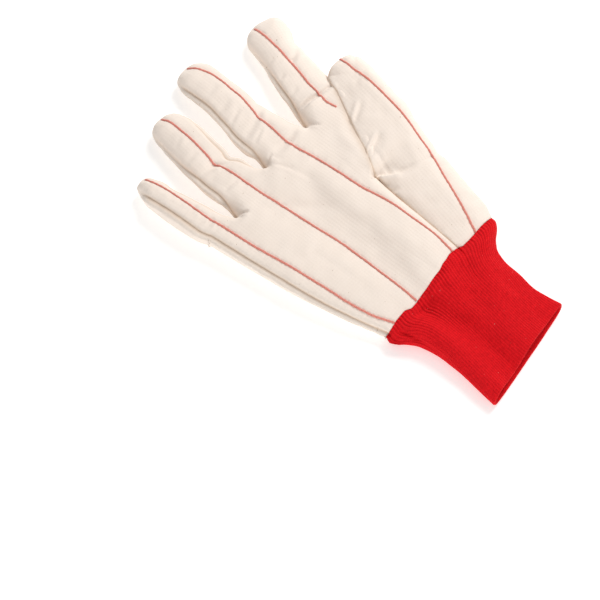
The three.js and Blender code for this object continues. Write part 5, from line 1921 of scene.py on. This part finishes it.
@dataclass
class Stitching:
    """The red quilting thread, one short stitch after another, with sizes in mm."""

    thread: bpy.types.Material
    stitch: float = 3.0
    uneven: float = 0.08
    shortest: float = 0.8
    width: float = 0.68
    pinch: float = 0.8
    above: float = 0.12
    arch: float = 0.18
    arch_middle: float = 0.6
    path_step: float = 0.25
    ray_from: float = 60
    sides: int = 6
    rings: int = 7

    def _heights(self, piece: bpy.types.Object, path: np.ndarray) -> np.ndarray:
        """The cloth's height in mm at each plan point, where it is met."""
        shown = piece.evaluated_get(bpy.context.evaluated_depsgraph_get())
        heights = []
        for x, y in path:
            hit, spot, _, _ = shown.ray_cast(Vector((x * MM, y * MM, self.ray_from * MM)), Vector((0, 0, -1)))
            heights.append(spot.z / MM if hit else np.nan)
        return np.array(heights)

    def _one(self, line: np.ndarray) -> np.ndarray:
        """The points of one stitch, ring by ring, arched along its line."""
        arch = np.sin(np.linspace(0, math.pi, self.rings))
        centre = line + np.c_[np.zeros((self.rings, 2)), self.above + (arch - self.arch_middle) * self.arch]
        run = unit(np.gradient(centre, axis=0))
        aside = unit(np.cross(run, [0, 0, 1.0]))
        lift = np.cross(aside, run)
        girth = self.width * (self.pinch + (1 - self.pinch) * np.sqrt(arch))
        turn = FULL_TURN * np.arange(self.sides) / self.sides
        around = aside[:, None] * np.cos(turn)[None, :, None] + lift[:, None] * np.sin(turn)[None, :, None]
        return (centre[:, None] + around * girth[:, None, None]).reshape(-1, 3)

    def build(self, name: str, line: list[tuple[float, float]], cloth: bpy.types.Object) -> None:
        """Lays the stitches of one quilting line, as one piece.

        Args:
            name: The name of the stitches.
            line: Plan points along the quilting line.
            cloth: The panel that it is sewn to.
        """
        path = line_points(line, self.path_step)
        path = np.c_[path, self._heights(cloth, path)]
        path = path[~np.isnan(path[:, 2])]
        length = travelled(path[:, :2])
        tube = grid_faces(self.rings, self.sides, closed=True)
        ring = np.arange(self.sides)
        points, faces = [], []
        start = 0.0
        rng = np.random.default_rng(len(name) * 7 + 3)
        while length[-1] - start > self.shortest:
            size = min(self.stitch * rng.uniform(1 - self.uneven, 1 + self.uneven), length[-1] - start)
            at = np.linspace(start, start + size, self.rings)
            start += size
            base = len(points) * self.rings * self.sides
            points.append(self._one(np.stack([np.interp(at, length, values) for values in path.T], -1)))
            faces += (tube + base).tolist()
            faces.append((base + ring).tolist())
            faces.append((base + (self.rings - 1) * self.sides + ring[::-1]).tolist())
        piece = mesh_object(name, np.concatenate(points), faces)
        edit_all(piece, bpy.ops.mesh.normals_make_consistent, inside=False)
        bpy.ops.object.shade_smooth()
        dress(piece, self.thread, Cloth.PALM)


@dataclass(frozen=True)
class Lamp:
    """One soft round lamp that faces the glove, in metres and watts."""

    name: str
    place: tuple[float, float, float]
    size: float
    power: float
    colour: tuple[float, float, float]


@dataclass
class Studio:
    """The pale table, the soft light and the camera."""

    look_at: tuple[float, float, float] = (-0.05645, -0.00429, 0.0)
    azimuth: float = -50.0
    elevation: float = 66.0
    distance: float = 1.0
    lens: float = 107.14
    sensor: float = 36.0
    table_size: float = 8
    table: Colour = (0.88, 0.88, 0.88, 1)
    table_glow: Colour = (1, 0.985, 0.965, 1)
    glow: float = 0.42
    sky: float = 0.45
    lamps: tuple[Lamp, ...] = (
        Lamp("key", (0.84, 0.1, 0.85), 0.7, 11.0, (1.0, 0.99, 0.975)),
        Lamp("fill", (-1.05, -0.85, 0.3), 0.5, 7.2, (1.0, 0.99, 0.97)),
    )

    def floor(self) -> None:
        """A pale table top."""
        select()
        bpy.ops.mesh.primitive_plane_add(size=self.table_size, location=(0, 0, 0))
        table = bpy.context.object
        table.name = "table_top"
        n = Nodes("pale_table")
        n.surface({"Base Color": self.table, "Roughness": 0.9, "Specular IOR Level": 0.1})
        n.surface({"Emission Color": self.table_glow, "Emission Strength": self.glow})
        table.data.materials.append(n.material)

    def lights(self) -> None:
        """A key light from the thumb's side, with a weak fill and a pale sky."""
        for lamp in self.lamps:
            light = bpy.data.lights.new(lamp.name, "AREA")
            light.shape = "DISK"
            light.size, light.energy, light.color = lamp.size, lamp.power, lamp.colour
            placed = bpy.data.objects.new(lamp.name, light)
            placed.location = lamp.place
            placed.rotation_euler = (-Vector(lamp.place)).to_track_quat("-Z", "Y").to_euler()
            bpy.context.collection.objects.link(placed)
        world = bpy.data.worlds.new("sky")
        world.use_nodes = True
        sky = world.node_tree.nodes["Background"]
        sky.inputs["Color"].default_value = (1, 1, 1, 1)
        sky.inputs["Strength"].default_value = self.sky
        bpy.context.scene.world = world

    def camera(self) -> None:
        """The camera at the photograph's angle."""
        turn, rise = math.radians(self.azimuth), math.radians(self.elevation)
        back = Vector((math.sin(turn) * math.cos(rise), -math.cos(turn) * math.cos(rise), math.sin(rise)))
        lens = bpy.data.cameras.new("camera")
        lens.lens = self.lens
        lens.sensor_width = self.sensor
        lens.clip_start, lens.clip_end = 0.05, 20
        camera = bpy.data.objects.new("camera", lens)
        camera.rotation_mode = "QUATERNION"
        camera.location = Vector(self.look_at) + back * self.distance
        camera.rotation_quaternion = (-back).to_track_quat("-Z", "Y")
        bpy.context.collection.objects.link(camera)
        bpy.context.scene.camera = camera

    def build(self) -> None:
        """Sets the stage."""
        self.floor()
        self.lights()
        self.camera()
        bpy.context.scene.view_settings.view_transform = "Standard"


def main() -> None:
    """Builds the glove and its stage, and writes how big it came out."""
    logging.basicConfig(level=logging.INFO, format="%(message)s")
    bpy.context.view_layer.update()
    select()
    canvas = CanvasFinish("corded_canvas").make()
    plain = CanvasFinish("plain_canvas", cord_height=0.008, nap=0.05).make()
    hand = Hand(canvas, plain).build()
    thumb = Thumb(canvas, plain).build()
    KnitWrist(KnitFinish().make()).build()
    stitching = Stitching(ThreadFinish("quilting_thread_red", (0.88, 0.30, 0.235, 1)).make())
    for name, line in QUILT_LINES.items():
        stitching.build(f"{name}_quilting", line, hand[0])
    stitching.build("thumb_quilting", THUMB_LINE, thumb[0])
    Studio().build()
    select()


if __name__ == "__main__":
    main()
